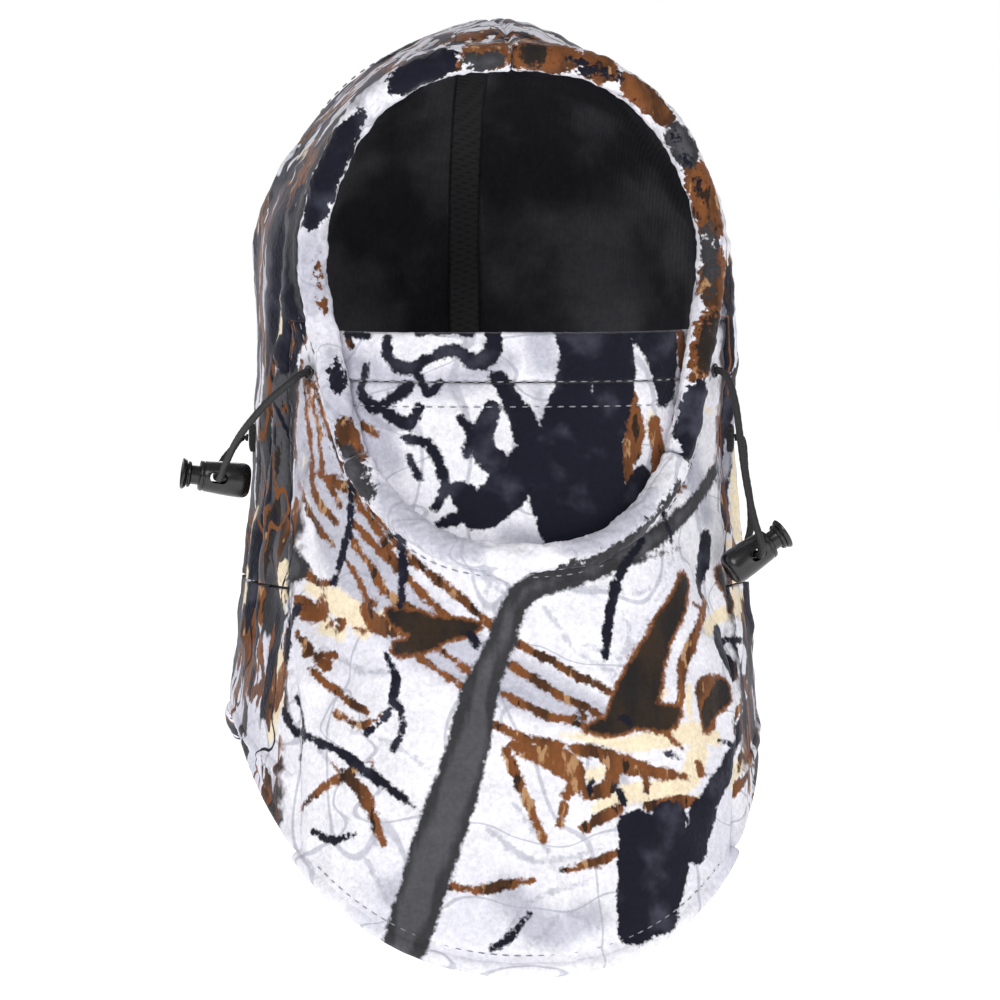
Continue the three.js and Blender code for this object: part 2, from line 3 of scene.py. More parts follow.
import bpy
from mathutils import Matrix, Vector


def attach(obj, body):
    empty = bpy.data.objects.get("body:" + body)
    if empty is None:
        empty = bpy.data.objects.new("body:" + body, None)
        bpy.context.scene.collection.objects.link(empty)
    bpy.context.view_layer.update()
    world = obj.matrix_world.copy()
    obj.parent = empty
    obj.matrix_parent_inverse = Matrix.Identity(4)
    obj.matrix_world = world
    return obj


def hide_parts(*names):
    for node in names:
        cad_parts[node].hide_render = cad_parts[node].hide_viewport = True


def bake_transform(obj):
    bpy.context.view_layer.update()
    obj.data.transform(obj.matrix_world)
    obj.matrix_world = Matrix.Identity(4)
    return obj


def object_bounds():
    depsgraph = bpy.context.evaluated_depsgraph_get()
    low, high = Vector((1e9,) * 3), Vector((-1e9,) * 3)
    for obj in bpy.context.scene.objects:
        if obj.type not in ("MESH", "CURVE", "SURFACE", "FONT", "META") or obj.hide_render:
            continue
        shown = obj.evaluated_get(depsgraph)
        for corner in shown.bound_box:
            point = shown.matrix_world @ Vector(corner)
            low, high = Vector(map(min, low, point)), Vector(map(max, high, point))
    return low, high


bl_info = {
    "name": "Fleece Face Mask Hood",
    "version": (1, 0, 0),
    "blender": (4, 5, 0),
    "location": "View3D > Sidebar > Hood",
    "description": "Builds a printed fleece hood with a face mask, cord loops and cord locks",
    "category": "Add Mesh",
}

import math

import bmesh
import bpy
import numpy as np
from mathutils import Matrix, Vector

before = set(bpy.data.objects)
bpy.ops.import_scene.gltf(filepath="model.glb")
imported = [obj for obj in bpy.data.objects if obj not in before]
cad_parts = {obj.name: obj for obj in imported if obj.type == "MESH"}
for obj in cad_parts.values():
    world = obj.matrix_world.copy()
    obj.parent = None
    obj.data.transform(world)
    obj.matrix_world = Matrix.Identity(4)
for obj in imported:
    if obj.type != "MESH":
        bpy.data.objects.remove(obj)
CAD_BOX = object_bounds()

# ---- Sizes of the garment, in millimetres --------------------------------------------------------
MM = 0.001
GAP = 0.3
FLEECE = 3.0
SECTION_POWER = 2.5
DOME_Z = -90.0
CENTRE_Y = 5.0
BIB_HALF_WIDTH = 102.0
SIDE_HEM_Z, BIB_TIP_Z, FLAP_TIP_Z = -268.0, -359.0, -310.0
HEM_RADIUS, BOTTOM_HEM_RADIUS = 5.5, 3.0
CHEEK_SEAM_X, CHEEK_SEAM_TOP_Z, NAPE_SEAM_Z = 84.0, -112.0, -215.0
MASK_TOP_Z, MASK_HALF_WIDTH, MASK_HEM_HEIGHT, MASK_FLEECE = -115.0, 75.0, 19.0, 2.5
MASK_STITCH_Z = -143.5
MASK_INSET = FLEECE / 2 + HEM_RADIUS + 0.6
CORD_RADIUS = 1.4
EYELET_X, EYELET_Z = 78.0, -131.0
OPENING_REACH, PIECE_REACH = 15, 6  # how far the distance fields are kept
JAW = 0.345  # where the upper and lower face hems meet, as a share of the way round
OPENING = [(0, -16), (30, -20), (55.38, -39), (71, -80), (64.97, -127), (53.96, -167), (30, -190),
           (0, -195)]

# ---- The view ------------------------------------------------------------------------------------
AZIMUTH, ELEVATION = math.radians(-6), math.radians(3)
DISTANCE = 4.3
VIEW_SIDE = 0.385  # metres across the view at the aim
AIM_X, AIM_Y, AIM_Z = -3.0, -60.0, -181.0


# ---- The shape of the garment --------------------------------------------------------------------
def track(pairs):
    """A smooth curve through (height, value) pairs that run from high to low."""
    height, value = np.array(pairs, float).T
    last = len(height) - 1
    after = np.minimum(np.arange(last + 1) + 1, last)
    before = np.maximum(np.arange(last + 1) - 1, 0)
    slope = (value[after] - value[before]) / (height[after] - height[before])

    def at(z):
        z = np.clip(np.asarray(z, float), height[-1], height[0])
        i = np.clip(np.searchsorted(-height, -z, side="right") - 1, 0, last - 1)
        step = height[i + 1] - height[i]
        rise = value[i + 1] - value[i]
        t = (z - height[i]) / step
        a, b = slope[i] * step - rise, rise - slope[i + 1] * step
        return value[i] + t * rise + t * (1 - t) * (a * (1 - t) + b * t)

    return at


half_width = track([(-90, 90), (-154, 91), (-204, 94), (-268, 102), (-369, 104)])
front_depth = track([(-90, 101), (-140, 113), (-195, 123), (-369, 146)])
back_depth = track([(-90, 105), (-130, 101), (-215, 78), (-310, 96)])
front_power = track([(-40, 4.8), (-100, 3.65), (-165, 2.5)])


def dome_share(z, inset, power):
    rise = np.clip((z - DOME_Z) / (FLEECE - inset - DOME_Z), 0, 1)
    return (1 - rise**power) ** (1 / power)


def half_sizes(z, inset):
    """Half the width, and the depths to the front and to the back, at a height."""
    return (
        (half_width(z) - inset) * dome_share(z, inset, 1.7),
        (front_depth(z) - inset) * dome_share(z, inset, 3.5),
        (back_depth(z) - inset) * dome_share(z, inset, 2.3),
    )


def surface_point(angle, z, inset=0.0):
    """The point at an angle round the section: 0 is the middle of the front, +90 degrees is +X."""
    angle, z = np.broadcast_arrays(np.asarray(angle, float), np.asarray(z, float))
    across, front, back = half_sizes(z, inset)
    sine, cosine = np.sin(angle), np.cos(angle)
    is_front = cosine > 0
    power = np.where(is_front, front_power(z), SECTION_POWER)
    depth = np.where(is_front, front, back)
    x = across * np.sign(sine) * np.abs(sine) ** (2 / power)
    y = CENTRE_Y - depth * np.sign(cosine) * np.abs(cosine) ** (2 / power)
    return np.stack([x, y, z], -1)


def surface_at(x, z, inset=0.0):
    """The point of the front of the surface that lies at x and z."""
    x, z = np.broadcast_arrays(np.asarray(x, float), np.asarray(z, float))
    across, front, _ = half_sizes(z, inset)
    power = front_power(z)
    share = np.clip(np.abs(x) / np.maximum(across, 1e-6), 0, 1)
    return np.stack([x, CENTRE_Y - front * (1 - share**power) ** (1 / power), z], -1)


def back_at(x, z, inset=0.0):
    """The point of the back of the surface that lies at x and z."""
    x, z = np.broadcast_arrays(np.asarray(x, float), np.asarray(z, float))
    across, _, back = half_sizes(z, inset)
    share = np.clip(np.abs(x) / np.maximum(across, 1e-6), 0, 1)
    return np.stack([x, CENTRE_Y + back * (1 - share**SECTION_POWER) ** (1 / SECTION_POWER), z], -1)


def side_at(y, z, side, inset=0.0):
    """The point of one side of the surface that lies at y and z; side is -1 or +1."""
    y, z = np.broadcast_arrays(np.asarray(y, float), np.asarray(z, float))
    across, front, back = half_sizes(z, inset)
    is_front = y < CENTRE_Y
    depth = np.where(is_front, front, back)
    power = np.where(is_front, front_power(z), SECTION_POWER)
    share = np.clip(np.abs(CENTRE_Y - y) / np.maximum(depth, 1e-6), 0, 1)
    return np.stack([side * across * (1 - share**power) ** (1 / power), y, z], -1)


def unit(v):
    return v / np.maximum(np.linalg.norm(v, axis=-1, keepdims=True), 1e-9)


def outwards(x, z, place=surface_at):
    """The direction straight out of the fabric."""
    step = 0.5
    here = place(x, z)
    normal = np.cross(place(np.asarray(x) + step, z) - here, place(x, np.asarray(z) + step) - here)
    return unit(normal)


def on_front(x, z, inset=0.0):
    """The point of the front that the camera sees at x and z of the view plane."""
    x, z = np.asarray(x, float), np.asarray(z, float)
    across, depth = x.copy(), z.copy()
    for _ in range(6):
        y = surface_at(across, depth, inset)[..., 1]
        across = (x - math.sin(AZIMUTH) * (y - AIM_Y)) / math.cos(AZIMUTH)
        reach = math.cos(AZIMUTH) * (y - AIM_Y) - math.sin(AZIMUTH) * across
        depth = (z - reach * math.sin(ELEVATION)) / math.cos(ELEVATION)
    return surface_at(across, depth, inset)


def edge_height(share, tip_z):
    """The height of the lower edge at a share of the half width."""
    share = np.clip(np.abs(share), 0, 1)
    return SIDE_HEM_Z + (tip_z - SIDE_HEM_Z) * (1 - share**2.2) ** 0.56


def centripetal(points, per_segment, closed=False):
    """A centripetal Catmull-Rom curve through the points."""
    points = np.asarray(points, float)
    count = len(points)
    if closed:
        index = lambda i: points[i % count]
    else:
        ends = np.vstack([2 * points[0] - points[1], points, 2 * points[-1] - points[-2]])
        index = lambda i: ends[i + 1]
    made = []
    for i in range(count if closed else count - 1):
        p0, p1, p2, p3 = index(i - 1), index(i), index(i + 1), index(i + 2)
        d0, d1, d2 = (max(np.linalg.norm(b - a) ** 0.5, 1e-4) for a, b in ((p0, p1), (p1, p2), (p2, p3)))
        m1 = ((p1 - p0) / d0 - (p2 - p0) / (d0 + d1) + (p2 - p1) / d1) * d1
        m2 = ((p2 - p1) / d1 - (p3 - p1) / (d1 + d2) + (p3 - p2) / d2) * d1
        t = (np.arange(per_segment) / per_segment)[:, None]
        made.append(p1 + m1 * t + (3 * (p2 - p1) - 2 * m1 - m2) * t**2 + (2 * (p1 - p2) + m1 + m2) * t**3)
    if not closed:
        made.append(points[-1:])
    return np.vstack(made)


def evenly(line, count):
    """The line again, with count points at even distances."""
    gone = np.concatenate([[0], np.cumsum(np.linalg.norm(np.diff(line[:, :3], axis=0), axis=1))])
    at = np.linspace(0, gone[-1], count)
    return np.stack([np.interp(at, gone, line[:, k]) for k in range(line.shape[1])], 1)


mirrored = OPENING + [(-x, z) for x, z in OPENING[-2:0:-1]]
opening_edge = centripetal(mirrored, 40, closed=True)
opening_run = np.roll(opening_edge, -1, 0) - np.roll(opening_edge, 1, 0)
opening_run /= np.linalg.norm(opening_run, axis=1)[:, None]
hem_outline = opening_edge + np.stack([-opening_run[:, 1], opening_run[:, 0]], 1) * HEM_RADIUS


def hem_line(start, end, count, inset=FLEECE / 2):
    """The middle line of the face hem from start to end, as shares of the way round."""
    total = len(hem_outline)
    u = np.linspace(start, end, 400) * total
    x = np.interp(u % total, np.arange(total + 1), np.append(hem_outline[:, 0], hem_outline[0, 0]))
    z = np.interp(u % total, np.arange(total + 1), np.append(hem_outline[:, 1], hem_outline[0, 1]))
    return evenly(surface_at(x, z, inset), count)


def outline_distance(x, z, outline):
    """Distance in x and z from a closed outline, positive outside it."""
    best = np.full(x.shape, 1e9)
    inside = np.zeros(x.shape, bool)
    for (ax, az), (bx, bz) in zip(outline, np.roll(outline, -1, 0)):
        dx, dz = bx - ax, bz - az
        t = np.clip(((x - ax) * dx + (z - az) * dz) / (dx * dx + dz * dz + 1e-12), 0, 1)
        best = np.minimum(best, np.hypot(x - ax - t * dx, z - az - t * dz))
        crosses = (az > z) != (bz > z)
        inside ^= crosses & (x < ax + (z - az) * dx / (dz if abs(dz) > 1e-12 else 1e-12))
    return np.where(inside, -best, best)


# ---- Strokes: lines laid on the fabric, for folds and for the print ----------------------------------
def stroke(points, place):
    """A smooth line on the fabric from (x, z, half width) rows."""
    rows = np.array(points, float)
    spots = np.concatenate([place(rows[:, 0], rows[:, 1]), rows[:, 2:3]], 1)
    if len(spots) == 1:
        return np.vstack([spots, spots + [0.01, 0, 0, 0]])
    return centripetal(spots, 5) if len(spots) > 2 else spots


def stroke_depth(points, strokes, reach=6.0):
    """How deep each point lies inside the nearest stroke, or minus its distance outside, to -reach."""
    depth = np.full(len(points), -reach)
    for line in strokes:
        margin = line[:, 3].max() + reach
        near = np.flatnonzero(
            ((points > line[:, :3].min(0) - margin) & (points < line[:, :3].max(0) + margin)).all(1)
        )
        if not len(near):
            continue
        spot, best = points[near], np.full(len(near), -1e9)
        for a, b in zip(line[:-1], line[1:]):
            run = b[:3] - a[:3]
            t = np.clip((spot - a[:3]) @ run / max(run @ run, 1e-9), 0, 1)
            width = a[3] + t * (b[3] - a[3])
            best = np.maximum(best, width - np.linalg.norm(spot - a[:3] - t[:, None] * run, axis=1))
        depth[near] = np.maximum(depth[near], best)
    return depth


def ripple(points, size, seed, count=14):
    """Smooth random waves of about one size, from -1 to 1."""
    chance = np.random.default_rng(seed)
    ways = unit(chance.normal(size=(count, 3))) * chance.uniform(0.7, 1.4, (count, 1)) * 2 * math.pi / size
    phases = chance.uniform(0, 2 * math.pi, count)
    total = np.zeros(len(points))
    for way, phase in zip(ways, phases):
        total += np.sin(points @ way + phase)
    return total / math.sqrt(count * 2)


# ---- Meshes --------------------------------------------------------------------------------------
def mesh_object(name, points, faces, materials):
    """A new object from points in millimetres."""
    mesh = bpy.data.meshes.new(name)
    mesh.from_pydata((np.asarray(points) * MM).tolist(), [], faces)
    mesh.validate()
    obj = bpy.data.objects.new(name, mesh)
    bpy.context.scene.collection.objects.link(obj)
    for material in materials:
        mesh.materials.append(material)
    mesh.shade_smooth()
    return obj


def activate(obj):
    bpy.ops.object.select_all(action="DESELECT")
    obj.select_set(True)
    bpy.context.view_layer.objects.active = obj


def apply_modifier(obj, kind, **settings):
    activate(obj)
    modifier = obj.modifiers.new(kind.title(), kind)
    for key, value in settings.items():
        setattr(modifier, key, value)
    bpy.ops.object.modifier_apply(modifier=modifier.name)


def grid_faces(rows, columns, wrap=False):
    """Quads of a grid whose points run row by row."""
    row, column = np.meshgrid(np.arange(rows - 1), np.arange(columns if wrap else columns - 1),
                              indexing="ij")
    right = (column + 1) % columns
    return np.stack(
        [row * columns + column, (row + 1) * columns + column, (row + 1) * columns + right,
         row * columns + right],
        -1,
    ).reshape(-1, 4)


def clip(data, faces, field):
    """The part of a mesh where a column of its vertex data is positive, cut along its zero line."""
    value = data[:, field]
    kept, mixed = [], []
    for face in faces:
        side = [value[i] > 0 for i in face]
        if all(side):
            kept.append(list(face))
        elif any(side):
            mixed.append(face)
    rows, cut = [], {}

    def between(a, b):
        key = (min(a, b), max(a, b))
        if key not in cut:
            share = value[a] / (value[a] - value[b])
            cut[key] = len(data) + len(rows)
            rows.append(data[a] + (data[b] - data[a]) * share)
        return cut[key]

    for face in mixed:
        made = []
        for a, b in zip(face, [*face[1:], face[0]]):
            if value[a] > 0:
                made.append(a)
            if (value[a] > 0) != (value[b] > 0):
                made.append(between(a, b))
        if len(made) > 2:
            kept.append(made)
    data = np.vstack([data, rows]) if rows else data
    used = np.unique(np.concatenate([np.array(f) for f in kept]))
    new = np.full(len(data), -1)
    new[used] = np.arange(len(used))
    return data[used], [[int(new[i]) for i in f] for f in kept]


def even_heights(cell, top, bottom):
    """Heights down the garment whose rows lie about one cell apart along the fabric."""
    z = np.concatenate([FLEECE - 93 * np.linspace(0, 1, 400) ** 2.2, np.linspace(-90.5, -366, 300)])
    runs = []
    for angle in (0.001, math.pi / 2, math.pi - 0.001):
        runs.append(np.linalg.norm(np.diff(surface_point(np.full(len(z), angle), z), axis=0), axis=1))
    gone = np.concatenate([[0], np.cumsum(np.max(runs, axis=0))])
    low, high = np.interp([-top, -bottom], -z, gone)
    return np.interp(np.linspace(low, high, max(int((high - low) / cell), 4)), gone, z)


def shares_to_angles(shares, heights):
    """Angles at signed shares of the half perimeter, for each height."""
    quarter = np.linspace(0, 1, 120)
    quarter = (math.pi / 2) * (3 * quarter**2 - 2 * quarter**3)
    fine = np.concatenate([quarter, math.pi / 2 + quarter[1:]])
    wrapped = (shares + 1) % 2 - 1
    wrapped = np.where((wrapped == -1) & (shares > 0), 1, wrapped)
    angles = np.empty((len(heights), len(shares)))
    for i, z in enumerate(heights):
        ring = surface_point(fine, np.full(len(fine), min(z, FLEECE - 0.02)))
        gone = np.concatenate([[0], np.cumsum(np.linalg.norm(np.diff(ring, axis=0), axis=1))])
        angles[i] = np.sign(wrapped) * np.interp(np.abs(wrapped), gone / gone[-1], fine)
    return angles


# Columns of a panel's vertex data.
POSITION, NORMAL = slice(0, 3), slice(3, 6)
OPENING_FIELD, FRONT_FIELD, BOTTOM_FIELD, NAPE_FIELD, SIDE_FIELD = range(6, 11)


def shell_grid(shares, heights):
    """Vertex data and quads of the outside of the garment."""
    angle = shares_to_angles(shares, heights)
    z = np.repeat(np.asarray(heights)[:, None], len(shares), 1)
    point = surface_point(angle, z)
    normal = unit(np.cross(np.gradient(point, axis=1), -np.gradient(point, axis=0)))
    normal[np.linalg.norm(np.gradient(point, axis=1), axis=-1) < 1e-4] = (0, 0, 1)
    front = np.cos(angle) > 0
    x = point[..., 0]
    opening = np.where(front, np.minimum(outline_distance(x, z, hem_outline), OPENING_REACH),
                       OPENING_REACH)
    inside_seams = np.minimum(CHEEK_SEAM_X - np.abs(x), CHEEK_SEAM_TOP_Z - z)
    piece = np.where(front, np.maximum(inside_seams, -PIECE_REACH), -PIECE_REACH)
    tip = np.where(front, BIB_TIP_Z, FLAP_TIP_Z)
    bottom = z - edge_height(x / BIB_HALF_WIDTH, tip) - BOTTOM_HEM_RADIUS
    fields = [opening, piece, bottom, z - NAPE_SEAM_Z, np.abs(x)]
    data = np.concatenate([point, normal, np.stack(fields, -1)], -1).reshape(-1, 11)
    return data, grid_faces(*angle.shape).tolist()


# Folds of the worn fabric: (height, width, [(x, z), ...]) with a place function for each set.
FOLD_STRENGTH = 1.4
FRONT_FOLDS = [
    (2.2, 7, [(-86, -190), (-83, -215), (-78, -240), (-70, -262)]),
    (-2.4, 5, [(-78, -186), (-75, -212), (-69, -238), (-60, -258)]),
    (1.6, 8, [(-52, -204), (-40, -226), (-20, -246)]),
    (-1.6, 6, [(-62, -214), (-48, -238), (-26, -258)]),
    (1.8, 9, [(58, -200), (70, -228), (80, -256)]),
    (-2.0, 6, [(70, -196), (80, -222), (88, -246)]),
    (1.5, 10, [(0, -204), (4, -232), (14, -262)]),
    (1.6, 12, [(-60, -280), (-40, -306), (-20, -322)]),
    (-1.4, 9, [(40, -270), (46, -300), (40, -330)]),
    (1.8, 8, [(86, -250), (82, -280), (72, -304)]),
]
LEFT_FOLDS = [
    (3.0, 6, [(-58, -128), (-50, -160), (-44, -196), (-48, -236)]),
    (-3.0, 5, [(-46, -126), (-38, -160), (-32, -198), (-36, -240)]),
    (2.4, 6, [(-30, -140), (-22, -172), (-16, -206), (-20, -244)]),
    (-2.2, 5, [(-12, -150), (-6, -182), (0, -212), (-4, -250)]),
    (2.6, 7, [(-66, -84), (-60, -112), (-54, -136)]),
    (-2.4, 6, [(-52, -70), (-44, -100), (-36, -128)]),
    (2.0, 9, [(20, -176), (26, -206), (30, -240)]),
    (-2.2, 8, [(40, -160), (46, -196), (50, -236)]),
    (2.0, 10, [(-20, -40), (10, -60), (40, -92)]),
]
RIGHT_FOLDS = [(height * 0.8, width, [(y + 4, z - 5) for y, z in line]) for height, width,
               line in LEFT_FOLDS]
BACK_FOLDS = [
    (2.4, 9, [(-40, -170), (-34, -205), (-38, -250), (-42, -290)]),
    (-2.2, 8, [(-18, -180), (-14, -214), (-18, -256), (-22, -296)]),
    (2.0, 9, [(8, -178), (12, -212), (10, -254), (8, -300)]),
    (-2.2, 8, [(34, -176), (32, -210), (36, -250), (40, -290)]),
    (2.4, 9, [(58, -168), (54, -204), (60, -250)]),
    (1.6, 12, [(-50, -90), (0, -104), (50, -94)]),
]


def left_side(y, z):
    return side_at(y, z, -1)


def right_side(y, z):
    return side_at(y, z, 1)


def fold_relief(points):
    """How far the folds push the fabric out at each point, in millimetres."""
    total = np.zeros(len(points))
    for folds, place in (
        (FRONT_FOLDS, on_front),
        (LEFT_FOLDS, left_side),
        (RIGHT_FOLDS, right_side),
        (BACK_FOLDS, back_at),
    ):
        for height, width, line in folds:
            path = stroke([(a, b, 0.0) for a, b in line], place)
            away = -stroke_depth(points, [path], reach=3 * width)
            ends = np.minimum(
                np.linalg.norm(points - path[0, :3], axis=1), np.linalg.norm(points - path[-1, :3], axis=1)
            )
            fade = np.clip(ends / (1.5 * width), 0.25, 1)
            total += FOLD_STRENGTH * height * fade * np.exp(-((away / width) ** 2))
    return total


def drape(data):
    """Moves the vertices to where the sewn and worn fabric lies, and returns them."""
    points, normals = data[:, POSITION], data[:, NORMAL]
    opening, piece, bottom, nape, side = (data[:, k] for k in range(OPENING_FIELD, SIDE_FIELD + 1))
    rise = fold_relief(points)
    rise += 1.1 * ripple(points, 60, 3) + 0.45 * ripple(points, 22, 4) + 0.12 * ripple(points, 3.2, 5)
    turn = np.arctan2(points[:, 0], points[:, 2] + 105)
    gathers = np.sin(58 * turn + 3 * np.sin(5 * turn)) * (0.6 + 0.4 * np.sin(11 * turn))
    rise += 0.7 * gathers * np.exp(-(((opening - 6) / 7) ** 2)) * (opening < 14.5)
    calm = 1 - np.exp(-((np.minimum(opening, bottom) / 9) ** 2))
    rise *= np.clip(calm, 0.15, 1)
    in_front = points[:, 1] < CENTRE_Y
    # Ditches along the cheek, nape and crown seams, and along the stitches of the hems.
    seam_a = np.abs(piece) * in_front + 9 * ~in_front
    seam_b = np.abs(nape) + 30 * (piece > 0)
    seam_c = side + 30 * ((points[:, 1] < 0) & (points[:, 2] < -20))
    for away in (seam_a, seam_b, seam_c):
        rise += -1.3 * np.exp(-((away / 1.3) ** 2)) + 0.5 * np.exp(-(((away - 4) / 2.4) ** 2))
    rise += -1.0 * np.exp(-(((opening - 7.2) / 1.2) ** 2)) - 0.8 * np.exp(-(((bottom - 5) / 1.0) ** 2))
    reach = 12
    near_lock = stroke_depth(points, list(LOCK_SHADE.values()), reach=reach)
    rise = np.where(near_lock > -reach, np.minimum(rise, 0.3 + 0.25 * np.clip(-near_lock, 0, reach)), rise)
    return points + normals * rise[:, None]


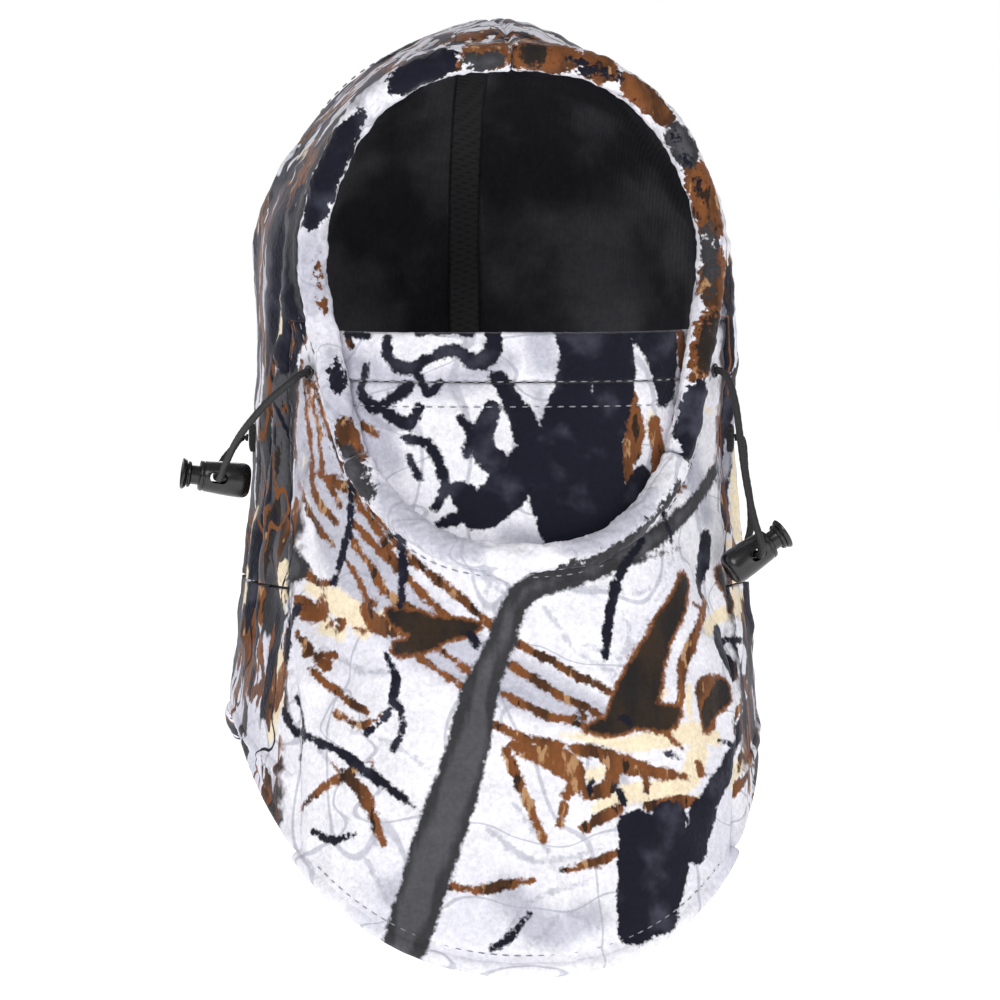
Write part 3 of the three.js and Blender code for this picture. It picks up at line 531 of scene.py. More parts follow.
# ---- The print ------------------------------------------------------------------------------------
# Each ink holds strokes of (x, z, half width) rows on the front, in the view plane.
FRONT_PRINT = {
    "bark": [
        [(-39, -350, 9), (-36, -340, 9.4), (-21.5, -296, 9), (-14.6, -273, 8), (-10.6, -254, 7),
         (-4.2, -239, 5.8),
         (2, -223, 5), (8, -215, 5.2), (20, -211, 4.6), (36, -206, 4.4), (53, -197, 4), (68, -186, 3.5),
         (77, -174, 3), (84, -161, 2.5), (87, -147, 2)],
        [(-76, -115, 2), (-71, -128, 4), (-65, -142, 4.6), (-60, -151, 3)],
        [(-88, -130, 5), (-88, -150, 6.5), (-87, -175, 7), (-85, -200, 7), (-80, -208, 5)],
        [(25, -211, 1.5), (46, -205, 1.1), (66, -199, 0.7)],
        [(72, -52, 3), (75, -60, 3)],
    ],
    "shade": [
        [(-76, -150, 9), (-70, -176, 12), (-56, -205, 15), (-32, -232, 12), (0, -250, 10), (32, -262, 7)],
        [(62, -140, 6), (70, -165, 7), (76, -185, 6)],
        [(36, -17, 4), (46, -23, 4)],
        [(-30, -322, 5), (-44, -330, 5)],
        [(0, -330, 6), (14, -344, 7), (32, -340, 5)],
    ],
    "twig": [
        [(-38, -185, 0.6), (-18, -204, 0.8), (3, -220, 0.6)],
        [(-14, -194, 0.5), (-12, -206, 0.7), (0, -214, 0.6)],
        [(-2, -196, 0.5), (-8, -214, 0.7), (-10, -232, 0.5)],
        [(14, -222, 0.6), (28, -240, 0.8), (40, -246, 0.6)],
        [(28, -214, 0.7), (52, -216, 0.7), (62, -204, 0.5)],
        [(30, -236, 0.6), (44, -240, 0.7), (60, -212, 0.6)],
        [(24, -212, 0.6), (46, -228, 0.8), (40, -250, 0.6)],
        [(-62, -268, 0.6), (-40, -276, 0.8), (-18, -296, 0.7)],
        [(-54, -318, 0.7), (-44, -336, 0.6)],
        [(-8, -306, 0.8), (10, -318, 0.7), (36, -314, 0.6)],
        [(-4, -352, 0.7), (8, -334, 0.8), (30, -326, 0.6)],
        [(2, -296, 0.6), (14, -312, 0.8), (20, -326, 0.5)],
        [(10, -350, 0.9), (22, -338, 0.9), (34, -344, 0.7)],
        [(-72, -276, 0.8), (-56, -292, 0.7), (-50, -312, 0.7)],
        [(-72, -238, 0.9), (-56, -246, 1.2), (-44, -246, 0.9)],
    ],
    "brown": [
        # stripes down the cheek
        [(-79.4, -128, 0.9), (-81.6, -150, 1.1), (-81, -166, 1.3), (-78, -180, 1.3), (-75, -188, 1.5),
         (-66.5, -198, 1.1)],
        [(-78, -134, 0.8), (-76.5, -153, 1.2), (-74.6, -173, 1.2), (-71.7, -182, 1.4), (-64.7, -190, 1.0)],
        [(-77, -136, 0.8), (-72.4, -156, 1.1), (-71, -168, 1.1), (-64, -183, 0.9)],
        [(-75.4, -136, 0.8), (-68, -157, 1.4), (-62.8, -170, 1.1)],
        [(-74.6, -132, 0.6), (-62.8, -157, 1.0)],
        [(-58.4, -180, 1.2), (-46.6, -197, 1.4), (-40.8, -208, 1.4), (-30, -219, 1.3), (-18.7, -230, 1.1)],
        [(-54, -182, 0.9), (-42.2, -198, 1.1), (-30, -209, 1.4), (-16, -220, 1.5), (-5.4, -230, 1.3)],
        [(-59, -189, 1.1), (-50, -199, 1.3), (-41, -208, 1.1)],
        [(-59, -197, 1), (-51, -208, 1.4), (-46, -216, 1.5), (-36, -223, 1.4), (-26, -230, 1)],
        [(-61.4, -205, 1), (-55.5, -215, 1.3), (-52.9, -224, 1.1)],
        [(-35, -240, 1), (-22, -249, 1.3), (-12, -255, 1)],
        [(-27, -237, 1), (-13.5, -247, 1.3), (-8, -250, 1)],
        [(4, -236, 1.2), (27, -248, 1.4), (40, -254.5, 1)],
        [(1, -244, 1.3), (21, -256, 1.5), (34, -262, 1.1)],
        [(-1, -255, 1.2), (13, -262, 1.5), (27.5, -266.5, 1.1)],
        [(-6, -266, 1.1), (5, -271, 1.4), (21, -274.5, 1.1)],
        # the crossed twigs on the cheek
        [(-53, -153, 1.6), (-56.5, -166, 2.6), (-59, -175, 2.4)],
        [(-72, -171, 1.2), (-64, -175, 2.2), (-58, -176, 2.8), (-50, -173.5, 2.2), (-44, -171.6, 1)],
        [(-56, -150, 0.8), (-50, -154, 1.3), (-46, -154.5, 0.8)],
        # leaves on the left
        [(-90, -206, 1.6), (-88, -214, 1.6), (-84, -220, 1.4)],
        [(-86, -205, 1.2), (-80, -206, 1.4), (-75, -212, 1.3), (-66, -213, 0.9)],
        [(-79, -220, 2), (-75, -224, 3.8), (-71, -222, 2.4)],
        [(-56, -222, 1.6), (-51, -228, 3.6), (-44, -230, 3.2), (-38, -231, 2)],
        [(-67, -231, 0.9), (-64, -229, 1.4)],
        [(-78, -233, 1), (-70, -245, 1.3)],
        [(-76, -240, 0.8), (-68, -240, 0.9)],
        # bird's foot and small twigs below
        [(-80, -299, 0.8), (-70, -291, 1.4), (-60, -285, 1.5), (-52, -281, 0.9)],
        [(-62, -286, 1.3), (-54, -292, 1.6), (-50, -304, 1.9), (-47, -312, 1.2)],
        [(-66, -282, 0.8), (-58, -290, 1.1), (-53, -298, 1)],
        [(-66, -262, 0.8), (-56, -267, 1.1), (-48, -263, 0.7)],
        [(-74, -246, 0.9), (-64, -256, 1.2), (-54, -262, 0.9)],
        [(-24, -327, 0.8), (-12, -329, 1.6), (0, -327, 1.8), (10, -326, 0.8)],
        [(20, -322, 0.7), (32, -319, 1.7), (43, -315, 1.2)],
        [(-0.5, -276, 1.4), (5, -290, 1.7), (14, -310, 1.2)],
        [(24, -288, 1.5), (20, -304, 1.2)],
        # leaves on the right
        [(2, -274, 2), (13, -278, 4), (22, -282, 5), (26, -288, 3.2), (22, -293, 1.6)],
        [(26, -276, 2), (34, -277, 2.4), (42, -281, 3.6), (50, -283, 3), (58, -285, 2), (68, -287, 1.2)],
        [(41, -284, 3), (39, -290, 3.2), (30, -293, 2.2)],
        [(54, -282, 1), (53.6, -292, 0.9)],
        [(29, -306, 1.6), (35, -302, 2.2), (44, -298.5, 1.6)],
        [(54, -298, 1.8), (62, -297, 2.8), (70, -296, 2)],
        [(76, -219, 2), (71, -232, 2), (67, -244, 2.2), (65, -258, 1.4), (63, -268, 1)],
        [(93, -246, 1.4), (89, -258, 1.5), (84, -270, 1.2)],
        [(76, -256, 8.2), (76, -266, 4.2)],
        [(58, -268, 1), (66, -276, 0.8)],
        [(72, -282, 1.6), (73, -286, 1.2)],
        [(92, -284, 2), (86, -294, 2)],
        [(96, -240, 1), (99, -250, 1)],
        [(96, -268, 2), (99, -274, 2)],
        # the hood's edge
        [(-24, -4, 2.4), (-12, -1.5, 3.4), (-4, -1, 2.4)],
        [(4, -2, 2), (12, -5, 4), (20, -8, 4)],
        [(28, -12, 3), (34, -15, 3)],
        [(52, -27, 4), (60, -35, 5.4), (68, -46, 4)],
        [(78, -62, 4), (80, -72, 5), (81, -80, 4)],
        [(82, -88, 3), (83, -97, 4)],
        [(79, -108, 3), (80, -114, 3)],
        [(84, -130, 1.2), (83, -146, 1.6), (80, -158, 1)],
        [(-76, -110, 1), (-79, -120, 1.2)],
    ],
    "umber": [
        [(-44, -224, 1.6), (-36, -228, 4.6), (-28, -231, 5.2), (-20, -230, 3.6), (-13, -229, 2)],
        [(-43, -238, 2), (-34, -236, 3.6), (-28, -235, 3)],
        [(66, -212, 2.6), (63, -223, 4.4), (58, -234, 5.5), (53, -246, 7.5), (48, -257, 8.5),
         (41, -266, 4.2),
         (30, -268, 1.2)],
        [(50, -262, 6), (60, -264, 4.4), (64, -262, 2)],
        [(80, -255, 5.5), (76, -262, 4), (75, -268, 1.6)],
        [(81, -210, 3), (85, -220, 3.4)],
        [(82, -126, 2), (83.5, -136, 3), (84, -147, 2)],
        [(10, -4, 1.6), (14, -6, 1.8)], [(22, -10, 1.6), (25, -12, 1.8)],
        [(57, -33, 1.6), (63, -38, 2)], [(80, -70, 1.6), (81, -78, 2)],
        [(-58, -175, 1.2), (-59, -178, 1)],
    ],
    "cream": [
        [(-87, -211, 2.2), (-83, -217, 3)],
        [(-76, -214, 3), (-66, -220, 5.2), (-60, -224, 4.4), (-56, -231, 3)],
        [(-72, -229, 3), (-64, -232, 2.8)],
        [(-48, -225, 1.8), (-40, -226, 1.4)],
        [(-50, -177, 2.4), (-46, -180, 1.4)],
        [(20, -270, 1), (34, -272, 1.8), (46, -274, 3), (58, -272, 4), (70, -270, 4.4), (78, -272, 3)],
        [(32, -286, 3), (36, -284, 2.4)],
        [(34, -298, 2.4), (45, -293, 4), (57, -292, 4), (68, -288, 5), (72, -278, 5)],
        [(76, -230, 3.4), (82, -226, 3), (90, -220, 3.6), (94, -226, 2.4)],
        [(68, -252, 1.4), (69, -262, 2)],
        [(57, -257, 1.8), (60, -254, 1.2)],
        [(84, -290, 2.4), (90, -280, 2.4), (94, -268, 2)],
        [(80, -100, 2), (81, -106, 2)], [(-3, -2, 1.4), (2, -6, 1.4)],
    ],
    "dark": [
        [(51, -306, 7), (50, -325, 7), (50, -344, 6)],
        [(46, -303, 3), (45, -325, 3), (45, -346, 3)],
        [(62, -304, 8), (62, -322, 9), (58, -340, 7)],
        [(74, -302, 7), (72, -314, 6)],
        [(82, -236, 7), (85, -245, 6.5)],
        [(76, -196, 3.2), (76, -208, 3.2), (74, -217, 1.6)],
        [(95, -256, 2.8), (89, -268, 3.4), (83, -281, 4), (76, -295, 4.6)],
        [(100, -256, 1.2), (97, -266, 1.6)],
        [(51, -196, 1), (45, -205, 1.2), (41, -212, 1.5), (38.6, -226, 1.7), (37, -241, 1.1)],
        [(-60, -174, 0.8), (-60, -186, 1.5), (-62, -198, 1.6), (-67, -213, 1.2)],
        [(-40, -178, 1.6), (-41.5, -188, 1.2), (-40, -205, 1.4), (-40, -222, 0.9)],
        [(-46, -180, 0.6), (-36, -189, 0.6)],
        [(-79, -223, 2), (-84, -236, 2.8), (-87, -250, 1.8)],
        [(-47, -240, 0.9), (-43, -250, 1.5), (-46, -262, 1), (-54, -270, 0.7)],
        [(-42, -258, 0.8), (-40, -268, 1.1), (-44, -276, 0.7)],
        [(-80, -270, 1), (-64, -277, 1.5), (-48, -288, 1.6), (-36, -297, 0.8)],
        [(-86, -262, 1.4), (-82, -270, 1.6)],
        [(-82, -256, 0.9), (-78, -268, 0.9), (-80, -280, 0.7)],
        [(-74, -308, 0.9), (-66, -311, 1.3), (-58, -308, 0.7)],
        [(-12, -236, 1.4), (-14, -232, 1)],
        [(-6, -352, 0.8), (2, -346, 1), (8, -338, 0.6)],
        [(82, -150, 1.6), (81, -168, 2.4), (83, -184, 2)],
        [(60, -186, 0.8), (62, -196, 1)],
        [(-30, -10, 3), (-38, -14, 5), (-46, -20, 4)],
        [(-60, -36, 3.4), (-67, -48, 5.6), (-72, -64, 6), (-75, -80, 5)],
        [(-84, -64, 6), (-86, -84, 7), (-87, -106, 7), (-88, -122, 5)],
        [(84, -94, 1.4), (86, -108, 2)],
        [(86, -118, 1.4), (87, -128, 1.6)],
        [(-54, -158, 0.7), (-50, -161, 0.8)],
    ],
}

# The same inks on the crown and sides: rows of (y, z, half width) on a side, (x, z, half width) on the back.
LEFT_PRINT = {
    "dark": [
        [(-76, -52, 6), (-70, -80, 9), (-64, -112, 10), (-60, -126, 6)],
        [(-56, -30, 7), (-48, -54, 13), (-40, -88, 15), (-34, -122, 12)],
        [(-20, -54, 9), (-10, -90, 12), (-6, -124, 8)],
        [(-30, -184, 3), (-26, -206, 3.4), (-28, -228, 2)],
        [(-62, -228, 3), (-66, -244, 4), (-64, -262, 3)],
        [(34, -226, 6), (46, -232, 8), (60, -230, 5)],
        [(52, -60, 6), (66, -84, 8), (70, -110, 6)],
    ],
    "bark": [
        [(-62, -132, 6), (-52, -150, 11), (-46, -178, 12), (-46, -206, 10), (-48, -224, 5)],
        [(-30, -132, 8), (-20, -152, 15), (-12, -184, 16), (-10, -214, 14), (-14, -250, 8)],
        [(10, -132, 7), (18, -160, 12), (20, -196, 12), (14, -236, 10)],
        [(44, -20, 6), (62, -40, 7), (82, -66, 6), (94, -90, 4)],
    ],
    "brown": [
        [(-10, -14, 4), (8, -24, 7), (24, -40, 6), (36, -54, 3)],
        [(-66, -212, 2), (-58, -217, 3), (-46, -222, 2)],
        [(34, -84, 4), (38, -110, 7), (36, -140, 6), (44, -164, 3)],
        [(52, -150, 4), (60, -170, 7), (58, -200, 5)],
        [(-36, -20, 2), (-26, -34, 3)],
        [(-60, -250, 2), (-44, -256, 2.6), (-30, -250, 1.4)],
    ],
    "umber": [[(10, -28, 3), (24, -38, 3)], [(38, -112, 3), (37, -132, 3)],
              [(59, -176, 3), (58, -192, 2.4)]],
    "cream": [[(-58, -222, 3), (-44, -230, 3)], [(0, -32, 3), (20, -48, 4)], [(26, -112, 3), (26, -134, 3)],
              [(68, -170, 4), (68, -190, 4)]],
    "shade": [[(-74, -130, 5), (-70, -160, 6), (-66, -190, 5)], [(30, -250, 8), (56, -250, 8)],
              [(44, -96, 8), (56, -130, 8)]],
    "twig": [[(-70, -262, 0.8), (-40, -270, 0.8)], [(46, -120, 0.8), (64, -150, 0.8)]],
}
RIGHT_PRINT = {
    "dark": [
        [(-58, -140, 3), (-54, -166, 4.5), (-58, -192, 3)],
        [(-20, -84, 6), (-8, -112, 9), (0, -148, 5)],
        [(24, -176, 8), (36, -206, 11), (34, -246, 7)],
        [(-56, -234, 6), (-48, -244, 6)],
        [(-70, -30, 2), (-60, -36, 3)],
        [(60, -60, 5), (74, -90, 6)],
    ],
    "brown": [
        [(-40, -96, 3), (-34, -126, 5), (-38, -160, 3)],
        [(-34, -212, 4), (-18, -222, 7), (4, -230, 5)],
        [(10, -36, 5), (28, -52, 8), (46, -80, 6), (54, -104, 3)],
        [(-46, -30, 3), (-30, -36, 5), (-14, -34, 3)],
        [(60, -130, 4), (64, -156, 6), (58, -186, 4)],
        [(-66, -252, 2), (-50, -262, 2.6), (-30, -258, 1.6)],
    ],
    "umber": [[(-34, -118, 2.4), (-36, -140, 2.4)], [(20, -48, 3.4), (36, -62, 3.4)],
              [(-22, -220, 3.4), (-8, -226, 3)],
              [(63, -150, 3), (62, -168, 3)]],
    "bark": [[(-40, -12, 4), (-6, -24, 5), (20, -18, 5)],
             [(6, -60, 6), (18, -96, 8), (22, -140, 9), (8, -190, 7)]],
    "cream": [[(-26, -232, 4), (-6, -240, 4)], [(-48, -112, 3), (-46, -136, 3)],
              [(44, -48, 4), (58, -74, 4)],
              [(48, -150, 3), (50, -170, 3)]],
    "shade": [[(-66, -110, 6), (-64, -140, 7), (-60, -176, 6)], [(-10, -176, 8), (-6, -206, 8)],
              [(44, -110, 7), (44, -140, 7)]],
    "twig": [[(-60, -200, 0.8), (-30, -190, 0.8), (-10, -160, 0.8)], [(30, -120, 0.8), (50, -180, 0.8)]],
}
BACK_PRINT = {
    "bark": [
        [(-70, -40, 6), (-52, -90, 9), (-40, -150, 11), (-42, -210, 12), (-50, -300, 12)],
        [(-40, -150, 6), (-8, -120, 6), (20, -84, 5), (50, -54, 3)],
        [(-44, -230, 3), (-20, -214, 3), (4, -206, 1.6)],
    ],
    "dark": [
        [(14, -170, 9), (30, -196, 15), (34, -230, 12), (26, -256, 6)],
        [(-24, -50, 7), (-10, -74, 11), (-14, -100, 7)],
        [(56, -240, 8), (66, -262, 9)],
        [(10, -24, 4), (30, -38, 7), (44, -50, 4)],
        [(-14, -276, 5), (2, -290, 7), (20, -296, 5)],
        [(76, -120, 4), (80, -150, 6)],
    ],
    "brown": [
        [(64, -70, 4), (52, -100, 7), (52, -136, 7), (62, -170, 5), (70, -200, 3)],
        [(-14, -160, 4), (-4, -190, 8), (-8, -226, 7), (2, -262, 5)],
        [(10, -150, 1.6), (18, -124, 2.2), (34, -104, 1.4)],
        [(-62, -110, 3), (-68, -140, 5), (-64, -176, 4)],
        [(-76, -220, 4), (-70, -246, 6), (-74, -270, 4)],
        [(-40, -20, 4), (-24, -26, 5)],
    ],
    "umber": [[(53, -108, 3.4), (54, -134, 3.4)], [(-5, -196, 3.6), (-7, -220, 3.6)],
              [(-67, -146, 2.4), (-66, -166, 2.4)]],
    "cream": [[(8, -196, 4), (8, -226, 5), (14, -250, 3)], [(40, -112, 4), (42, -142, 4)],
              [(34, -280, 5), (48, -290, 5)],
              [(-56, -240, 3), (-62, -262, 3)]],
    "shade": [[(-20, -140, 9), (4, -146, 10), (30, -140, 8)], [(-24, -250, 10), (8, -240, 9)],
              [(-30, -84, 8), (-20, -110, 8)]],
    "twig": [[(-20, -130, 0.8), (10, -150, 0.9), (40, -146, 0.7)], [(-30, -190, 0.8), (-10, -240, 0.8)],
             [(40, -60, 0.8), (20, -100, 0.8)]],
}
INKS = ("shade", "twig", "cream", "brown", "umber", "bark", "dark")


def foliage(seed, count, low, high, size):
    """Small leaf-like dabs scattered over a patch, for each ink that leaves have."""
    chance = np.random.default_rng(seed)
    made = {"brown": [], "cream": [], "dark": []}
    for _ in range(count):
        x, z = chance.uniform(low, high)
        turn, length = chance.uniform(0, math.pi), size * chance.uniform(0.8, 2.2)
        dx, dz, width = math.cos(turn) * length, math.sin(turn) * length, size * chance.uniform(0.25, 0.5)
        ink = chance.choice(["brown", "cream", "dark"], p=[0.5, 0.25, 0.25])
        made[ink].append([(x - dx, z - dz, width * 0.4), (x, z + width, width),
                          (x + dx, z + dz, width * 0.4)])
    return made


def print_strokes():
    """Every stroke of the shell's print, for each ink."""
    sets = [(FRONT_PRINT, on_front), (LEFT_PRINT, left_side), (RIGHT_PRINT, right_side),
            (BACK_PRINT, back_at)]
    for seed, count, low, high, size in (
        (11, 7, (-88, -236), (-44, -208), 2.2),
        (12, 14, (24, -300), (96, -262), 2.4),
        (13, 7, (70, -236), (98, -206), 2.2),
        (17, 9, (66, -190), (92, -120), 2.2),
    ):
        sets.append((foliage(seed, count, low, high, size), on_front))
    for seed, place, low, high in (
        (14, left_side, (-50, -250), (60, -20)),
        (15, right_side, (-60, -250), (60, -20)),
        (16, back_at, (-70, -300), (70, -20)),
    ):
        sets.append((foliage(seed, 46, low, high, 4.5), place))
    made = {ink: [] for ink in INKS}
    for table, place in sets:
        for ink, lines in table.items():
            made[ink] += [stroke(line, place) for line in lines]
    return made


# The rolled hem's patches: (ink, from, to, half width, sideways). From and to are shares of the way round,
# from the crown towards +X, and sideways is in millimetres away from the opening.
HEM_PATCHES = [
    ("brown", 0.004, 0.052, 4.5, 2.5), ("umber", 0.014, 0.024, 2.0, 3), ("dark", 0.034, 0.2, 4.2, -3.5),
    ("brown", 0.066, 0.082, 3.6, 3.5), ("brown", 0.1, 0.142, 4.2, 3.2), ("bark", 0.148, 0.168, 4, 3),
    ("brown", 0.172, 0.212, 4.2, 3), ("bark", 0.205, 0.245, 3.4, -3), ("brown", 0.226, 0.25, 3.6, 3.5),
    ("brown", 0.252, 0.3, 2.2, -4), ("umber", 0.258, 0.285, 2.2, 4), ("brown", 0.262, 0.29, 2, 1),
    ("dark", 0.3, 0.34, 3.2, 4), ("dark", 0.308, 0.33, 2.2, -3), ("bark", 0.36, 0.47, 1.2, 5.5),
    ("shade", 0.38, 0.46, 4, -3), ("shade", 0.54, 0.63, 4, -2), ("bark", 0.632, 0.66, 2.2, 3),
    ("brown", 0.655, 0.676, 2.6, 0), ("shade", 0.665, 0.72, 4, 0), ("dark", 0.70, 0.716, 2.6, -4),
    ("brown", 0.742, 0.78, 2.4, -4.5), ("shade", 0.75, 0.79, 3.4, 2), ("brown", 0.79, 0.83, 2.8, -4),
    ("dark", 0.796, 0.862, 4.2, 4), ("brown", 0.838, 0.862, 3.4, -3), ("umber", 0.868, 0.9, 2.8, -4),
    ("brown", 0.874, 0.914, 3.6, -3), ("dark", 0.9, 0.946, 4.4, 4), ("brown", 0.925, 0.962, 3.0, -3.4),
    ("bark", 0.962, 0.99, 4, -3), ("brown", 0.966, 0.992, 3.6, 4),
]
MASK_PRINT = {
    "dark": [
        [(24, -116, 6), (26, -128, 6), (24, -144, 8), (22, -158, 11), (20, -176, 12), (22, -194, 9)],
        [(38, -116, 9), (40, -130, 9), (40, -142, 8), (36, -160, 9), (36, -182, 9), (30, -194, 6)],
        [(54, -116, 8), (58, -128, 5), (60, -142, 3.4)],
        [(62, -118, 4), (62, -140, 2.6)],
        [(8, -166, 7), (-2, -178, 8), (-12, -186, 6), (-18, -178, 4)],
        [(-4, -134, 2.4), (2, -144, 4), (8, -156, 6)],
        [(-6, -146, 3), (-10, -160, 4), (-4, -168, 5)],
        [(52, -172, 4), (46, -184, 6)],
        [(-62, -117, 1.4), (-54, -118, 1.2)],
        [(-46, -119, 1.4), (-46, -126, 1.8), (-38, -131, 2.2), (-30, -127, 1.8), (-20, -124, 2.4),
         (-12, -129, 2.6),
         (-6, -125, 3.2), (-6, -117, 3)],
        [(-34, -117, 1.2), (-24, -116, 1.4), (-14, -117, 1.4)],
        [(-54, -130, 1), (-56, -140, 1.6), (-50, -146, 2.2), (-44, -142, 1.8), (-38, -138, 2.4)],
        [(-46, -148, 1.6), (-38, -152, 2.2), (-34, -146, 1.8)],
        [(-34, -134, 1.2), (-30, -140, 1.6), (-26, -136, 1.2)],
        [(-40, -157, 1.2), (-30, -160, 1.6), (-26, -168, 1.7), (-24, -176, 1.6), (-28, -184, 1.4)],
        [(-38, -165, 1.2), (-34, -172, 1.4)],
        [(-18, -150, 1.2), (-14, -156, 1.8), (-16, -164, 1.6)],
        [(-22, -176, 2.2), (-14, -178, 2.6)],
        [(-26, -190, 1.6), (-20, -188, 2)],
    ],
    "brown": [
        [(46, -140, 2.6), (48, -150, 4.6), (48, -160, 5), (44, -168, 4), (50, -176, 2)],
        [(56, -152, 3), (58, -166, 3.4), (54, -180, 2)],
        [(66, -114, 2.6), (67, -126, 2.6), (68, -138, 2), (64, -150, 1.6)],
        [(-62, -116, 1.4), (-60, -122, 1.4)],
        [(-56, -152, 1.2), (-50, -156, 1.4)],
    ],
    "cream": [[(55, -148, 1.2), (54, -154, 1.4)], [(68, -120, 1), (69, -132, 1.2)],
              [(24, -186, 1.6), (27, -192, 1.8)]],
    "shade": [
        [(12, -118, 6), (14, -128, 6)], [(12, -140, 2), (14, -150, 4)],
        [(-60, -128, 4), (-30, -138, 5), (0, -128, 4)],
        [(0, -194, 4), (14, -198, 4)],
        [(-50, -150, 4), (-44, -166, 5)],
    ],
    "bark": [[(-66, -132, 1.4), (-62, -146, 2), (-58, -160, 1.6)]],
    "twig": [[(-56, -146, 0.8), (-36, -160, 0.8)], [(-12, -184, 0.8), (2, -174, 0.8)]],
}


def write_inks(obj, points, strokes):
    """Stores how deep each vertex lies in each ink, in millimetres."""
    for ink in INKS:
        layer = obj.data.attributes.new("ink_" + ink, "FLOAT", "POINT")
        layer.data.foreach_set("value", stroke_depth(points, strokes.get(ink, [])).astype(np.float32))


# ---- Materials -------------------------------------------------------------------------------------
def put(tree, kind, inputs=None, **settings):
    """Adds a node, sets its settings, and links or sets its inputs."""
    node = tree.nodes.new(kind)
    for key, value in settings.items():
        setattr(node, key, value)
    for key, value in (inputs or {}).items():
        socket = node.inputs[key]
        if isinstance(value, bpy.types.NodeSocket):
            tree.links.new(value, socket)
        else:
            socket.default_value = value
    return node


def maths(tree, operation, *values):
    return put(tree, "ShaderNodeMath", dict(enumerate(values)), operation=operation).outputs[0]


def mix(tree, share, first, second):
    """Blends two colours."""
    return put(tree, "ShaderNodeMix", {0: share, 6: first, 7: second}, data_type="RGBA").outputs[2]


def smooth_step(tree, value, low, high):
    return put(
        tree,
        "ShaderNodeMapRange",
        {"Value": value, "From Min": low, "From Max": high},
        interpolation_type="SMOOTHSTEP",
    ).outputs[0]


def noise(tree, scale, detail=2.0, place=None, stretch=None):
    """Even noise on Object coordinates, stretched if three factors are given."""
    place = place or put(tree, "ShaderNodeTexCoord").outputs["Object"]
    if stretch:
        place = put(tree, "ShaderNodeMapping", {"Vector": place, "Scale": stretch}).outputs[0]
    return put(tree, "ShaderNodeTexNoise",
               {"Vector": place, "Scale": scale, "Detail": detail}).outputs["Fac"]


def new_group(name, inputs, outputs):
    """A shader node group: inputs as (name, socket type, default) rows, outputs as (name, socket type) rows."""
    tree = bpy.data.node_groups.new(name, "ShaderNodeTree")
    for title, kind, default in inputs:
        socket = tree.interface.new_socket(name=title, in_out="INPUT", socket_type=kind)
        socket.default_value = default
    for title, kind in outputs:
        tree.interface.new_socket(name=title, in_out="OUTPUT", socket_type=kind)
    return tree, tree.nodes.new("NodeGroupInput"), tree.nodes.new("NodeGroupOutput")


def colour4(value):
    return (*value[:3], 1.0)


# Broken leaves and bark away from the face: (scale, detail, stretch, low, high, ink) of each noise.
LITTER = (
    (19, 3, (1.2, 1.2, 0.7), 0.55, 0.6, "shade"),
    (33, 4, (1.5, 1.5, 0.6), 0.6, 0.615, "cream"),
    (37, 5, (1.6, 1.6, 0.62), 0.545, 0.56, "brown"),
    (28, 5, (1.5, 1.5, 0.5), 0.6, 0.612, "umber"),
    (31, 5, (1.7, 1.7, 0.45), 0.53, 0.545, "dark"),
    (24, 4, (1.4, 1.4, 0.3), 0.585, 0.6, "bark"),
)
# Thin lines along a level of a noise: (scale, detail, stretch, level, from, to).
FAINT_TWIGS = ((19, 1, (1, 1, 0.55), 0.47, 0.011, 0.004), (30, 1, (0.6, 1, 1.2), 0.47, 0.011, 0.004))
LITTER_TWIGS = ((21, 2, (1, 1, 0.6), 0.44, 0.009, 0.005), (26, 2, (1.3, 1.3, 0.5), 0.44, 0.009, 0.005))


def level_line(tree, scale, detail, stretch, level, outer, inner):
    """A thin line where a noise is at a level."""
    away = maths(tree, "SUBTRACT", noise(tree, scale, detail, stretch=stretch), level)
    return smooth_step(tree, maths(tree, "ABSOLUTE", away, 0), outer, inner)


